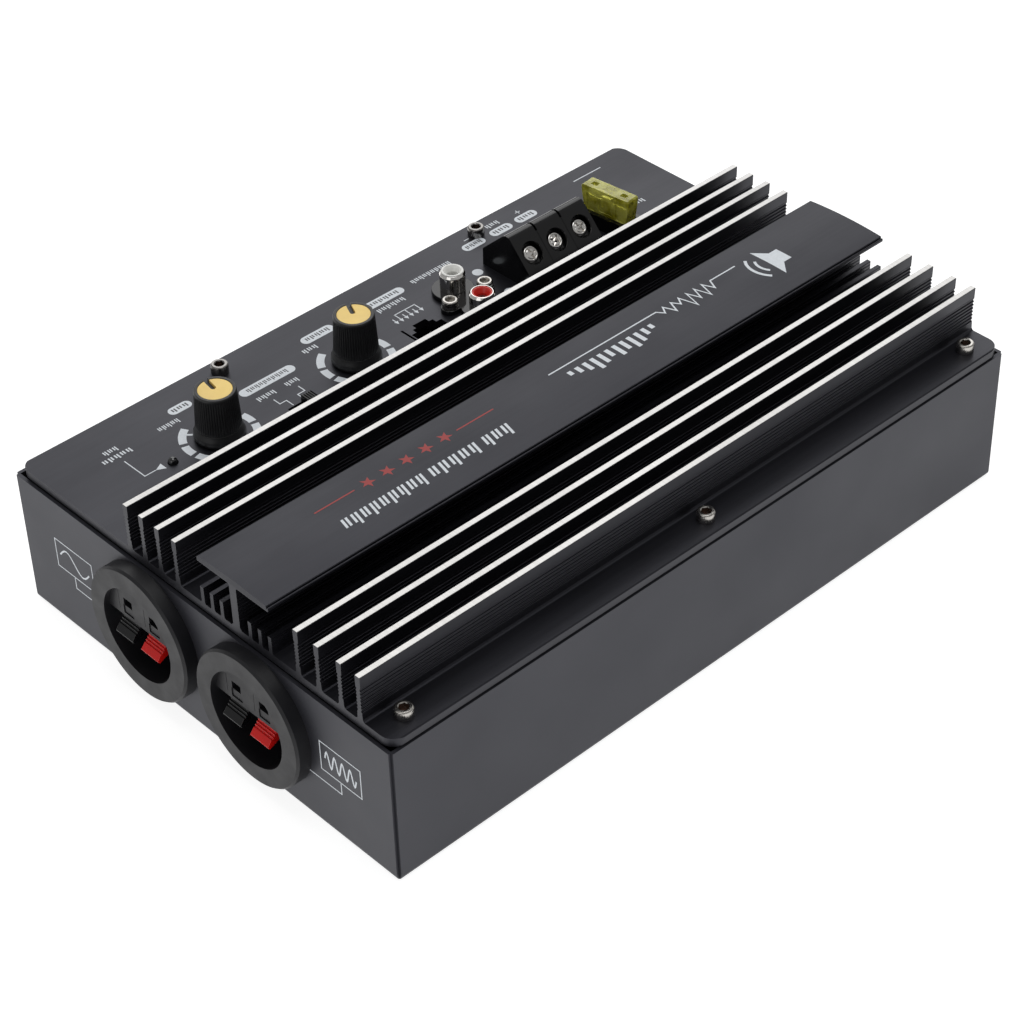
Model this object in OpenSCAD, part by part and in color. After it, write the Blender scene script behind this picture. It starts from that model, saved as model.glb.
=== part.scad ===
// Car audio power amplifier: a folded steel case closed by an extruded finned cover.
// +X is the speaker terminal end, -Y is the control strip, the origin is the middle of the case bottom.

/* [Case] */
// Length of the case along X
case_l = 249; // [244:0.5:254]
// Width of the case along Y
case_w = 165.8; // [163:0.1:168]
// Height of the case walls
case_h = 47.2; // [46.5:0.1:50]
// Thickness of the case sheet
sheet_t = 1.2; // [0.8:0.1:1.4]
// Gap between the case walls and the cover
seam = 0.45; // [0.3:0.05:0.8]

/* [Cover] */
// Thickness of the cover's base plate
plate_t = 2.8; // [2.6:0.1:3.4]
// Length of the cover along X
cover_l = 246.6; // [242:0.2:247]
// Height of the cooling fins above the plate
fin_h = 15.4; // [13:0.1:17]
// Width of a fin at its top
fin_w = 2; // [1.8:0.1:2.6]
// Number of grooves in a fin's side
fin_grooves = 7; // [0:1:8]
// Height of the low fins under the label plate
low_fin_h = 5.8; // [3:0.1:8]
// Width of the label plate
label_w = 30.2; // [26:0.1:31]
// Height of the label plate's underside above the base plate
label_h = 14.9; // [12:0.1:15.5]

/* [Controls] */
// Height of the knobs above the control strip
knob_h = 17; // [14:0.5:20]
// Diameter of a knob's skirt
knob_d = 15.8; // [14.5:0.1:17]
// Travel of the slide switch
switch_travel = 4.3; // [3:0.1:4.4]
// Diameter of an RCA shell
rca_d = 8.3; // [8.2:0.1:8.4]
// Height of the taller RCA shell above the control strip
rca_h = 7.5; // [7:0.1:10]
// Number of poles of the terminal block
poles = 3; // [2:1:3]
// Distance between the poles
pole_pitch = 10.65; // [10.2:0.05:10.7]
// Travel of a terminal's clamping cage
cage_travel = 2.1; // [1:0.1:2.2]
// Height of the fuse's top above the control strip
fuse_top = 13.5; // [13:0.1:15]

/* [Speaker cups] */
// Outer diameter of a cup's flange
cup_d = 43.8; // [43.2:0.1:44]
// Height of a cup's flange above the case wall
cup_proud = 4.9; // [4.5:0.1:5.5]
// Diameter of the recess in a cup
recess_d = 30.6; // [30:0.1:31]
// Height of the cups' centres above the case bottom
cup_z = 25.4; // [25:0.1:25.8]

/* [Circuit board] */
// Thickness of the circuit board
board_t = 1.6; // [1.2:0.1:2]
// Gap between the cover and the board
board_gap = 11.6; // [11.4:0.1:12]
// Height of the main capacitors
cap_h = 26; // [16:1:30]
// Outer diameter of the transformer winding
toroid_d = 46; // [38:1:48]

/* [Hidden] */
$fn = 48;

// Heights of the stack
under_z = case_h + seam;
top_z = under_z + plate_t;
board_top = under_z - board_gap;
board_z = board_top - board_t;

// Cover section: centre lines across Y
cover_y0 = -81.7;
cover_y1 = 82.5;
front_fins = [-28.15, -21.07, -13.9, -6.3];
rear_fins = [45.2, 53.6, 62.6, 70.05];
label_y = 19.2;
low_fins = [6, 10.25, 14.45];
stem_w = 2.9;
low_fin_w = 1.4;
label_t = 1.6;
label_crown = 0.7;

// Places on the control strip
level_xy = [19.8, -51];
lpf_xy = [73, -51];
knob_gap = 0.5;
shaft_r = 3;
bush_r = 3.5;
run = 0.05;
led_xy = [90.8, -50.6];
led_r = 1.5;
switch_xy = [44, -43.5];
slider = [4, 5.2];
jack_xy = [-6.6, -45.1];
rca_xy = [-25.2, -50];
rca_step = 6.85;
ear_step = 7.4;
terminal_x = -58.65;
terminal_yz = [-44.2, 9.86];
slope = 47;
fuse_xy = [-86.8, -48.9];
fuse_size = [5.1, 19.1];
fuse_turn = 6.5;
blade_step = 4.9;

// Screws that hold the cover
strip_screws = [[-52.6, -75.8], [53.2, -75.8]];
edge_screws = [[-113.2, 76.6], [0.5, 76.6], [113.9, 76.6]];
cover_screws = concat(strip_screws, edge_screws);
m3_r = 1.5;

// Speaker cups
cup_y = [-21.7, 27.1];
lever_dy = 5.9;
wall_x = case_l / 2;
front_x = wall_x + cup_proud;
barrel_r = 18.7;
hinge = [wall_x - 1.2, 2.6];
hinge_r = 0.8;

// Circuit board
board_x = [-116, 99];
board_y = [-74, 68];
standoffs = [[-111, -68], [94, -68], [-111, 62], [94, 62], [5, -66], [-10, 62]];
transistor_x = [-95, -73, -51, 30, 52, 74];
transistor_y = 40;
transistor = [10.2, 15.4, 4.5];
toroid_xy = [-50, 20];
capacitors = [[10, 0], [32, 0], [54, 0], [76, 0]];

// Points of an arc, from angle a0 to angle a1
function arc(c, r, a0, a1, n = 5) =
    [for (i = [0 : n]) let (a = a0 + (a1 - a0) * i / n) [c[0] + r * cos(a), c[1] + r * sin(a)]];

// Half width of a fin at a share of its height
function fin_half(s) = fin_w / 2 - (s > 0.75 ? 0.25 * (1 - s) : 0.07);

// Side of a fin from its root up to its top, as offsets from the centre line
groove_z0 = fin_h * 0.2;
groove_p = fin_h * 0.56 / 7;
groove_d = 0.3;
function fin_side() = concat(
    [[fin_w / 2 + 0.75, 0], [fin_w / 2 + 0.3, 0.25], [fin_w / 2 + 0.05, 0.75]],
    [for (i = [0 : 1 : fin_grooves - 1], k = [0 : 3])
        let (z = groove_z0 + i * groove_p + [0, 0.1, 0.38, 0.48][k] * groove_p / 0.62)
        [fin_half(z / fin_h) - (k == 1 || k == 2 ? groove_d : 0), z]],
    [[fin_half(0.8), fin_h * 0.8], [fin_w / 2, fin_h - 0.15], [fin_w / 2 - 0.15, fin_h]]);
function fin(y) = concat([for (p = fin_side()) [y + p[0], top_z + p[1]]],
    [for (i = [len(fin_side()) - 1 : -1 : 0]) let (p = fin_side()[i]) [y - p[0], top_z + p[1]]]);
function low_fin(y) = [[y + low_fin_w / 2 + 0.3, top_z], [y + low_fin_w / 2, top_z + 0.6],
    [y + low_fin_w / 2, top_z + low_fin_h], [y - low_fin_w / 2, top_z + low_fin_h],
    [y - low_fin_w / 2, top_z + 0.6], [y - low_fin_w / 2 - 0.3, top_z]];

// Label plate on its stem, from the stem's +Y root round to its -Y root
label_z = top_z + label_h;
function label_top(s) = label_z + label_t + label_crown * (1 - s * s);
function label_plate() = concat(
    [[label_y + stem_w / 2 + 0.8, top_z], [label_y + stem_w / 2, top_z + 0.8],
     [label_y + stem_w / 2, label_z - 0.5], [label_y + stem_w / 2 + 0.5, label_z],
     [label_y + label_w / 2 - 0.2, label_z], [label_y + label_w / 2, label_z + 0.2]],
    [[label_y + label_w / 2, label_top(1) - 0.6], [label_y + label_w / 2 - 0.15, label_top(1) - 0.45],
     [label_y + label_w / 2 - 0.45, label_top(1) - 0.45], [label_y + label_w / 2 - 0.45, label_top(1) - 0.8],
     [label_y + label_w / 2 - 0.7, label_top(1) - 0.8], [label_y + label_w / 2 - 0.7, label_top(0.95) - 0.15]],
    [for (i = [0 : 14]) let (s = 0.94 - 1.92 * i / 14) [label_y + s * label_w / 2, label_top(s)]],
    [[label_y - label_w / 2, label_top(1) - 0.3], [label_y - label_w / 2, label_z + 0.2],
     [label_y - label_w / 2 + 0.2, label_z], [label_y - stem_w / 2 - 0.5, label_z],
     [label_y - stem_w / 2, label_z - 0.5], [label_y - stem_w / 2, top_z + 0.8],
     [label_y - stem_w / 2 - 0.8, top_z]]);
function down(v) = [for (i = [len(v) - 1 : -1 : 0]) v[i]];
cover_section = concat(
    [[cover_y0 + 0.2, under_z], [cover_y1 - 0.2, under_z], [cover_y1, under_z + 0.2],
     [cover_y1, top_z - 0.35], [cover_y1 - 0.35, top_z]],
    [for (y = down(rear_fins)) each fin(y)],
    [for (d = down(low_fins)) each low_fin(label_y + d)],
    label_plate(),
    [for (d = low_fins) each low_fin(label_y - d)],
    [for (y = down(front_fins)) each fin(y)],
    [[cover_y0 + 0.35, top_z], [cover_y0, top_z - 0.35], [cover_y0, under_z + 0.2]]);

// Extrusion of a section in the Y-Z plane along X, centred on x = 0
module along_x(length) {
    rotate([90, 0, 90]) translate([0, 0, -length / 2]) linear_extrude(length) children();
}

// Extrusion of a section in the X-Z plane along Y, from y0 to y1
module along_y(y0, y1) {
    rotate([90, 0, 0]) translate([0, 0, -y1]) linear_extrude(y1 - y0) children();
}

// Box between two corners
module block(a, b) {
    translate(a) cube([for (i = [0 : 2]) b[i] - a[i]]);
}

// Cylinder along Z from z0 to z1
module rod(r, z0, z1) {
    translate([0, 0, z0]) cylinder(r = r, h = z1 - z0);
}

// Ring along Z from z0 to z1
module ring(r_out, r_in, z0, z1) {
    difference() {
        rod(r_out, z0, z1);
        rod(r_in, z0 - 1, z1 + 1);
    }
}

// Folded tray section with round outer bends, for a half width w
module tray_section(w) {
    r = 1.8;
    polygon(concat([[-w, case_h]], arc([-w + r, r], r, 180, 270), arc([w - r, r], r, 270, 360),
        [[w, case_h], [w - sheet_t, case_h]], arc([w - r, r], r - sheet_t, 360, 270),
        arc([-w + r, r], r - sheet_t, 270, 180), [[-w + sheet_t, case_h]]));
}

corner_gap = 0.9;
tab_w = 13;
tab_in = 11.5;
nut_r = 2.3;
module bottom_case() color([0.16, 0.16, 0.17]) difference() {
    union() {
        along_x(case_l - 2 * corner_gap) tray_section(case_w / 2);
        along_y(-case_w / 2 + corner_gap, case_w / 2 - corner_gap) tray_section(case_l / 2);
        for (p = cover_screws) {
            y0 = sign(p[1]) * (case_w / 2 - sheet_t / 2);
            y1 = sign(p[1]) * (case_w / 2 - tab_in);
            block([p[0] - tab_w / 2, min(y0, y1), case_h - sheet_t],
                [p[0] + tab_w / 2, max(y0, y1), case_h]);
        }
    }
    for (p = cover_screws) translate([p[0], p[1], 0]) rod(nut_r, case_h - 2, case_h + 1);
    for (y = cup_y) translate([0, y, cup_z]) rotate([0, 90, 0])
        rod(barrel_r + 0.3, wall_x - 3, wall_x + 1);
}

module clinch_nuts() color([0.75, 0.74, 0.7])
    for (p = cover_screws) translate([p[0], p[1], 0]) difference() {
        union() {
            rod(nut_r, case_h - sheet_t, case_h + seam);
            rod(3.1, case_h - sheet_t - 3, case_h - sheet_t);
        }
        rod(m3_r + run, case_h - 10, case_h + 2);
    }

// Opening for the modular plug: a wide mouth and the steps of its latch
jack_steps = [[12.2, -3.6, 3.6], [8.3, -5.4, 0], [5.3, -7.2, 0]];
module jack_mouth(z0, z1) {
    for (s = jack_steps) block([jack_xy[0] - s[0] / 2, jack_xy[1] + s[1], z0],
        [jack_xy[0] + s[0] / 2, jack_xy[1] + s[2], z1]);
}

block_below = [14.4, -60, -40.4];
holder_below = [3.6, 8.6];
corner_r = 4.5;
module heatsink_cover() color([0.13, 0.13, 0.14]) difference() {
    along_x(cover_l) polygon(cover_section);
    for (sx = [-1, 1], y = [cover_y0, cover_y1]) let (sy = sign(y))
        translate([sx * (cover_l / 2 - corner_r), y - sy * corner_r, 0]) difference() {
            block([min(0, sx * 9), min(0, sy * 9), under_z - 1], [max(0, sx * 9), max(0, sy * 9), top_z + 1]);
            rod(corner_r, under_z - 2, top_z + 2);
        }
    for (p = cover_screws) translate([p[0], p[1], 0]) rod(m3_r + 0.2, under_z - 1, top_z + 1);
    for (p = [level_xy, lpf_xy]) translate([p[0], p[1], 0]) rod(bush_r + 0.2, under_z - 1, top_z + 1);
    translate([led_xy[0], led_xy[1], 0]) rod(led_r + 0.15, under_z - 1, top_z + 1);
    block([switch_xy[0] - slider[0] / 2 - 0.5, switch_xy[1] - slider[1] / 2 - 0.5, under_z - 1],
        [switch_xy[0] + slider[0] / 2 + switch_travel + 0.5, switch_xy[1] + slider[1] / 2 + 0.5, top_z + 1]);
    jack_mouth(under_z - 1, top_z + 1);
    block([-0.1, -52.6, under_z - 1], [0.7, -45.7, top_z + 1]);
    for (s = [-1, 1]) translate([rca_xy[0], rca_xy[1] + s * rca_step, 0]) rod(3.4, under_z - 1, top_z + 1);
    for (s = [-1, 1]) translate([rca_xy[0] + s * ear_step, rca_xy[1], 0]) rod(1.3, under_z - 1, top_z + 1);
    block([terminal_x - block_below[0] - 0.3, block_below[1] - 0.3, under_z - 1],
        [terminal_x + block_below[0] + 0.3, block_below[2] + 0.3, top_z + 1]);
    at_fuse() block([-holder_below[0] - 0.2, -holder_below[1] - 0.2, -plate_t - 1],
        [holder_below[0] + 0.2, holder_below[1] + 0.2, 1]);
    for (p = standoffs) translate([p[0], p[1], 0]) rod(1.3, under_z - 1, under_z + 2);
    for (x = transistor_x) translate([x, transistor_y + 5, 0]) rod(1.3, under_z - 1, under_z + 2);
}

// Hexagon socket of a screw head
module hex_socket(af, z0, z1) {
    translate([0, 0, z0]) cylinder(r = af / sqrt(3), h = z1 - z0, $fn = 6);
}

// Socket cap screw seated on the cover
head_r = 2.75;
head_h = 3.2;
module cap_screw() {
    difference() {
        union() {
            rod(head_r, 0, head_h - 0.3);
            translate([0, 0, head_h - 0.3]) cylinder(r1 = head_r, r2 = head_r - 0.3, h = 0.3);
            rod(m3_r, -9, 0.5);
        }
        hex_socket(2.7, head_h - 1.8, head_h + 1);
    }
}
module cover_cap_screws() color([0.35, 0.34, 0.32])
    for (p = strip_screws) translate([p[0], p[1], top_z]) cap_screw();

module cover_edge_screws() color([0.6, 0.58, 0.54])
    for (p = edge_screws) translate([p[0], p[1], top_z]) cap_screw();

stud_r = 1.25;
module circuit_board() color([0.1, 0.32, 0.16]) difference() {
    block([board_x[0], board_y[0], board_z], [board_x[1], board_y[1], board_top]);
    for (p = standoffs) translate([p[0], p[1], 0]) rod(1.6, board_z - 1, board_top + 1);
    translate([toroid_xy[0], toroid_xy[1], 0]) rod(2.1, board_z - 1, board_top + 1);
    solder_pins();
}

module board_standoffs() color([0.78, 0.66, 0.36])
    for (p = standoffs) translate([p[0], p[1], 0]) difference() {
        union() {
            translate([0, 0, board_top]) cylinder(r = 3.2, h = board_gap, $fn = 6);
            rod(stud_r, under_z - 0.5, under_z + 1.8);
        }
        rod(m3_r, board_top - 1, board_top + 6);
    }

module board_screws() color([0.7, 0.7, 0.72])
    for (p = standoffs) translate([p[0], p[1], 0]) difference() {
        union() {
            rod(2.7, board_z - 2, board_z);
            rod(m3_r, board_z - 0.5, board_top + 5.5);
        }
        block([-1.8, -0.3, board_z - 3], [1.8, 0.3, board_z - 1]);
    }

pad_t = 0.3;
module power_transistors() color([0.12, 0.12, 0.12])
    for (x = transistor_x) translate([x, transistor_y, under_z - pad_t]) difference() {
        union() {
            block([-transistor[0] / 2, -6.5, -1.3], [transistor[0] / 2, transistor[1] - 6.5, 0]);
            block([-transistor[0] / 2, -6.5, -transistor[2]], [transistor[0] / 2, 2, -1.2]);
            for (s = [-1 : 1]) {
                block([s * 2.54 - 0.4, -9.5, -3], [s * 2.54 + 0.4, -6, -2.5]);
                block([s * 2.54 - 0.4, -9.5, -board_gap + pad_t], [s * 2.54 + 0.4, -9, -2.5]);
            }
        }
        translate([0, 5, 0]) rod(1.8, -3, 1);
    }

module insulating_pads() color([0.75, 0.76, 0.78])
    for (x = transistor_x) translate([x, transistor_y, under_z - pad_t]) difference() {
        block([-6, -7.5, 0], [6, transistor[1] - 5.5, pad_t]);
        translate([0, 5, 0]) rod(1.9, -1, 1);
    }

module transistor_screws() color([0.7, 0.7, 0.72])
    for (x = transistor_x) translate([x, transistor_y + 5, under_z]) difference() {
        union() {
            rod(2.7, -pad_t - 3.4, -pad_t - 1.3);
            rod(1.25, -pad_t - 1.5, 1.8);
        }
        block([-1.8, -0.3, -pad_t - 4], [1.8, 0.3, -pad_t - 2.6]);
    }

toroid_h = 19;
winding_t = 4.5;
module toroid_core() color([0.5, 0.42, 0.25])
    translate([toroid_xy[0], toroid_xy[1], board_z - 1 - toroid_h])
        ring(toroid_d / 2 - winding_t, 11, winding_t, toroid_h - winding_t);

module toroid_winding() color([0.72, 0.36, 0.16])
    translate([toroid_xy[0], toroid_xy[1], board_z - 1 - toroid_h]) difference() {
        union() {
            ring(toroid_d / 2 - 1.5, 8, 0, toroid_h);
            ring(toroid_d / 2, 6.5, 1.5, toroid_h - 1.5);
        }
        ring(toroid_d / 2 - winding_t, 11, winding_t, toroid_h - winding_t);
    }

module toroid_clamp() color([0.7, 0.7, 0.72])
    translate([toroid_xy[0], toroid_xy[1], board_z - 1 - toroid_h]) {
        rod(13, -1.5, 0);
        rod(3.5, -4, -1.5);
        rod(2, -1.5, toroid_h + 6);
        translate([0, 0, toroid_h + 1 + board_t]) cylinder(r = 4, h = 2.4, $fn = 6);
    }

module filter_capacitors() color([0.1, 0.12, 0.3])
    for (p = capacitors) translate([p[0], p[1], board_z - cap_h]) {
        rod(8.5, 0, cap_h - 2.4);
        rod(9, 0.6, cap_h - 2.8);
        rod(9, cap_h - 2.2, cap_h);
    }

module power_relay() color([0.15, 0.2, 0.5])
    block([60, 28, board_z - 16], [79, 44, board_z]);

module output_chokes() color([0.72, 0.4, 0.2])
    for (x = [24, 48]) translate([x, 40, board_z - 13]) {
        ring(9, 3.5, 0, 12);
        rod(2.5, 0, 13);
    }

module driver_chips() color([0.13, 0.13, 0.13])
    for (x = [-95, -20], y = [-20, -36]) block([x, y, board_z - 3.6], [x + 19, y + 7.6, board_z]);

module pin(x, y, z1) {
    block([x - 0.4, y - 0.4, board_z - 1], [x + 0.4, y + 0.4, z1]);
}
module solder_pins() color([0.8, 0.8, 0.8]) {
    for (p = [level_xy, lpf_xy], s = [-1 : 1]) pin(p[0] + s * 3, p[1] - 3, pot_z);
    for (i = [-1 : 1], s = [-1, 1]) pin(switch_mid + i * 4, switch_xy[1] + s * 2.6, switch_z);
    for (i = [-2 : 2]) pin(jack_xy[0] + i * 2, jack_xy[1] - 5, board_top);
    for (i = [0 : poles - 1]) pin(pole_x(i), leg_y, board_top);
    for (s = [-1, 1], t = [-1, 1]) let (p = fuse_point(t * clip_x, s * blade_step)) pin(p[0], p[1], board_top);
    for (s = [-1, 1]) pin(rca_xy[0], rca_xy[1] + s * rca_step, top_z - rca_depth);
    for (s = [-1, 1]) pin(led_xy[0] + s * 0.9, led_xy[1], led_base);
}

// Potentiometer below the strip, with its bushing through the cover
pot_z = board_top + 2.5;
pot_h = 7.8;
bush_top = top_z + 3.6;
module pot() {
    difference() {
        union() {
            block([-5, -6, pot_z], [5, 6, pot_z + pot_h]);
            rod(bush_r, pot_z + pot_h - 0.5, bush_top);
        }
        rod(shaft_r + run, pot_z + 1.5, bush_top + 1);
    }
}
module level_pot() color([0.55, 0.56, 0.55]) translate([level_xy[0], level_xy[1], 0]) pot();
module lpf_pot() color([0.55, 0.56, 0.55]) translate([lpf_xy[0], lpf_xy[1], 0]) pot();

module pot_nuts() color([0.75, 0.75, 0.76])
    for (p = [level_xy, lpf_xy]) translate([p[0], p[1], top_z]) difference() {
        union() {
            rod(5.6, 0, 0.5);
            translate([0, 0, 0.5]) cylinder(r = 5.6, h = 1.9, $fn = 6);
        }
        rod(bush_r, -1, 4);
    }

module pot_shaft() rod(shaft_r, pot_z + 1.8, top_z + knob_h - 2.6);
module level_shaft() color([0.8, 0.8, 0.8]) translate([level_xy[0], level_xy[1], 0]) pot_shaft();
module lpf_shaft() color([0.8, 0.8, 0.8]) translate([lpf_xy[0], lpf_xy[1], 0]) pot_shaft();

// Knob with a flared skirt, a tapered barrel, a pointer notch and a pocket for its cap
cap_r = 5.2;
notch_w = 1.3;
module knob(pointer) {
    r = knob_d / 2;
    h = knob_h;
    b = knob_gap;
    rotate(pointer) difference() {
        rotate_extrude() polygon([[shaft_r, 4.4], [r - 1.5, 4], [r - 1.5, b], [r - 0.3, b],
            [r, b + 0.5], [r - 0.1, 2.2], [r - 0.5, 3.4], [r - 0.9, 3.9], [r - 0.9, 4.4],
            [r - 1.5, h - 0.5], [r - 1.8, h], [cap_r, h], [cap_r, h - 1.2], [0, h - 1.2],
            [0, h - 2.6], [shaft_r, h - 2.6]]);
        block([cap_r - 0.5, -notch_w / 2, h - 1.2], [r, notch_w / 2, h + 1]);
    }
}
module knob_cap(pointer) {
    rotate(pointer) difference() {
        rod(cap_r, knob_h - 1.2, knob_h - 0.1);
        block([0, -notch_w / 2, knob_h - 0.9], [cap_r + 1, notch_w / 2, knob_h + 1]);
    }
}
level_pointer = -113.6;
lpf_pointer = -99.5;
module level_knob() color([0.08, 0.08, 0.08]) translate([level_xy[0], level_xy[1], top_z]) knob(level_pointer);
module lpf_knob() color([0.08, 0.08, 0.08]) translate([lpf_xy[0], lpf_xy[1], top_z]) knob(lpf_pointer);
module level_knob_cap() color([0.95, 0.75, 0.35])
    translate([level_xy[0], level_xy[1], top_z]) knob_cap(level_pointer);
module lpf_knob_cap() color([0.95, 0.75, 0.35])
    translate([lpf_xy[0], lpf_xy[1], top_z]) knob_cap(lpf_pointer);

// Slide switch: its body hangs under the cover
switch_mid = switch_xy[0] + switch_travel / 2;
switch_z = board_top + 1.5;
module switch_body() color([0.5, 0.5, 0.5]) difference() {
    block([switch_mid - 6.5, switch_xy[1] - 4, switch_z], [switch_mid + 6.5, switch_xy[1] + 4, under_z - 0.3]);
    block([switch_xy[0] - slider[0] / 2 - 0.3, switch_xy[1] - slider[1] / 2 - 0.3, switch_z + 4],
        [switch_xy[0] + slider[0] / 2 + switch_travel + 0.3, switch_xy[1] + slider[1] / 2 + 0.3, under_z + 1]);
}

rib_w = 0.5;
module switch_slider() color([0.07, 0.07, 0.07]) difference() {
    block([switch_xy[0] - slider[0] / 2, switch_xy[1] - slider[1] / 2, switch_z + 4.3],
        [switch_xy[0] + slider[0] / 2, switch_xy[1] + slider[1] / 2, top_z + 3]);
    for (i = [-1 : 1]) block([switch_xy[0] + i * 1.1 - rib_w / 2, switch_xy[1] - slider[1], top_z + 2.3],
        [switch_xy[0] + i * 1.1 + rib_w / 2, switch_xy[1] + slider[1], top_z + 4]);
}

jack_body = [16, 17];
module remote_jack() color([0.05, 0.05, 0.05]) difference() {
    block([jack_xy[0] - jack_body[0] / 2, jack_xy[1] - 9.5, board_top],
        [jack_xy[0] + jack_body[0] / 2, jack_xy[1] + jack_body[1] - 9.5, under_z - 0.1]);
    jack_mouth(board_top + 2, under_z + 1);
}

module remote_jack_contacts() color([0.85, 0.7, 0.3])
    for (i = [-2.5 : 1 : 2.5]) translate([jack_xy[0] + i * 1.25, 0, 0])
        block([-0.25, jack_xy[1] + 2.3, board_top + 2], [0.25, jack_xy[1] + 2.9, under_z - 2]);

led_base = under_z - 3;
module power_led() color([0.05, 0.05, 0.06]) translate([led_xy[0], led_xy[1], 0]) {
    rod(led_r, led_base, top_z + 0.3);
    rod(1.9, led_base, led_base + 1);
    translate([0, 0, top_z + 0.3]) intersection() {
        sphere(r = led_r);
        rod(led_r + 1, 0, led_r);
    }
}

// RCA socket: two jacks on one base
rca_base_t = 1.6;
rca_depth = 12;
module at_rca(s) {
    translate([rca_xy[0], rca_xy[1] + s * rca_step, top_z]) children();
}
module rca_base() color([0.05, 0.05, 0.05]) difference() {
    union() {
        for (s = [-1, 1]) at_rca(s) rod(6.8, 0, rca_base_t);
        for (s = [-1, 1]) at_rca(s) rod(3.2, -rca_depth, 0.5);
        for (s = [-1, 1]) translate([rca_xy[0] + s * ear_step, rca_xy[1], top_z]) rod(3, 0, rca_base_t);
        translate([rca_xy[0], rca_xy[1], top_z]) block([-ear_step, -3, 0], [ear_step, 3, rca_base_t]);
    }
    for (s = [-1, 1]) translate([rca_xy[0] + s * ear_step, rca_xy[1], top_z]) rod(1.3, -1, 3);
    for (s = [-1, 1]) at_rca(s) rod(1.75, -10, 3);
}
shell_w = 0.9;
brim_r = 3.95;
brim_t = 0.85;
function shell_top(s) = s < 0 ? rca_h : rca_h - 0.6;
module rca_shells() color([0.8, 0.8, 0.78])
    for (s = [-1, 1]) at_rca(s) difference() {
        union() {
            rod(rca_d / 2, rca_base_t, shell_top(s) - 0.4);
            translate([0, 0, shell_top(s) - 0.4]) cylinder(r1 = rca_d / 2, r2 = brim_r, h = 0.4);
        }
        rod(rca_d / 2 - shell_w, 0, rca_h + 1);
    }
module rca_insert(s, top) {
    at_rca(s) difference() {
        union() {
            rod(rca_d / 2 - shell_w, rca_base_t, min(top, shell_top(s)));
            if (top > shell_top(s)) rod(brim_r - 0.1, shell_top(s), top);
        }
        rod(1.75, 0, top + 1);
        translate([0, 0, top - 1.6]) cylinder(r1 = 1.75, r2 = 2.4, h = 1.7);
    }
}
module rca_white_insert() color([0.93, 0.93, 0.9]) rca_insert(-1, shell_top(-1) + brim_t);
module rca_red_insert() color([0.8, 0.15, 0.13]) rca_insert(1, shell_top(1) - 0.2);
module rca_contacts() color([0.82, 0.78, 0.6])
    for (s = [-1, 1]) at_rca(s) {
        ring(1.75, 1.62, -4, shell_top(s) - 2.6);
        rod(1.75, -5, -4);
    }
module rca_screws() color([0.6, 0.58, 0.54])
    for (s = [-1, 1]) translate([rca_xy[0] + s * ear_step, rca_xy[1], top_z]) difference() {
        union() {
            rod(2.55, rca_base_t, rca_base_t + 2.4);
            translate([0, 0, rca_base_t + 2.4]) cylinder(r1 = 2.55, r2 = 2.3, h = 0.3);
            rod(1.25, -5, rca_base_t + 0.5);
        }
        hex_socket(2.6, rca_base_t + 1.5, rca_base_t + 4);
    }

// Power terminal block: wires enter one slope, screws turn in the other
function pole_x(i) = terminal_x + (i - (poles - 1) / 2) * pole_pitch;
terminal_l = poles * pole_pitch;
block_section = concat([[-61.8, 0], [-61.7, 6]], arc([-50.47, 12.82], 2.6, 132.7, 43, 8),
    [[-40.75, 6.2], [-37.2, 2.2], [-37.2, 0]]);
module at_slope(i) {
    translate([pole_x(i), terminal_yz[0], top_z + terminal_yz[1]]) rotate([-slope, 0, 0]) children();
}
cage_rest = -7;
plate_w = -8.2;
leg_y = -46.3;
module terminal_contact(i) {
    at_slope(i) block([-2.3, -3.9, plate_w], [2.3, 5.9, plate_w + 0.8]);
    block([pole_x(i) - 1.2, leg_y - 0.4, board_top], [pole_x(i) + 1.2, leg_y + 0.4, top_z + 0.4]);
}
module terminal_block() color([0.05, 0.05, 0.05]) difference() {
    union() {
        translate([terminal_x, 0, top_z]) along_x(terminal_l) polygon(block_section);
        block([terminal_x - block_below[0], block_below[1], board_top],
            [terminal_x + block_below[0], block_below[2], top_z + 1]);
    }
    for (i = [0 : poles - 1]) at_slope(i) {
        rod(3.3, -2.85, 3);
        rod(1.7, -4, 0);
        block([-3.6, -4, -13.2], [3.6, 4, cage_rest + 1.5 + cage_travel]);
        block([-2.9, -14, -12], [2.9, -3, -6.9]);
    }
    for (i = [0 : poles - 1]) terminal_contact(i);
    for (i = [1 : poles - 1]) translate([pole_x(i) - pole_pitch / 2, 0, top_z])
        block([-0.4, -55, 13.6], [0.4, -48, 18]);
}
module terminal_contacts() color([0.8, 0.8, 0.78])
    for (i = [0 : poles - 1]) terminal_contact(i);

screw_top = -0.9;
screw_r = 2.8;
screw_cross = [1.8, 0.35];
module terminal_screw(i) {
    at_slope(i) difference() {
        union() {
            rod(screw_r, -2.8, screw_top - 0.3);
            translate([0, 0, screw_top - 0.3]) cylinder(r1 = screw_r, r2 = screw_r - 0.3, h = 0.3);
            rod(m3_r - 0.05, plate_w + 0.85, -2.5);
        }
        block([-screw_cross[0], -screw_cross[1], -2], [screw_cross[0], screw_cross[1], 0]);
        block([-screw_cross[1], -screw_cross[0], -2], [screw_cross[1], screw_cross[0], 0]);
    }
}
module terminal_cage(i) {
    at_slope(i) difference() {
        block([-3.3, -3, -12.7], [3.3, 3, cage_rest + 1.1]);
        block([-2.5, -4, -11.5], [2.5, 4, cage_rest]);
        rod(m3_r, cage_rest - 1, cage_rest + 2);
    }
}
module terminal_screw_1() color([0.75, 0.74, 0.7]) terminal_screw(0);
module terminal_screw_2() color([0.75, 0.74, 0.7]) terminal_screw(1);
module terminal_screw_3() color([0.75, 0.74, 0.7]) terminal_screw(2);
module terminal_cage_1() color([0.8, 0.68, 0.35]) terminal_cage(0);
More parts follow.
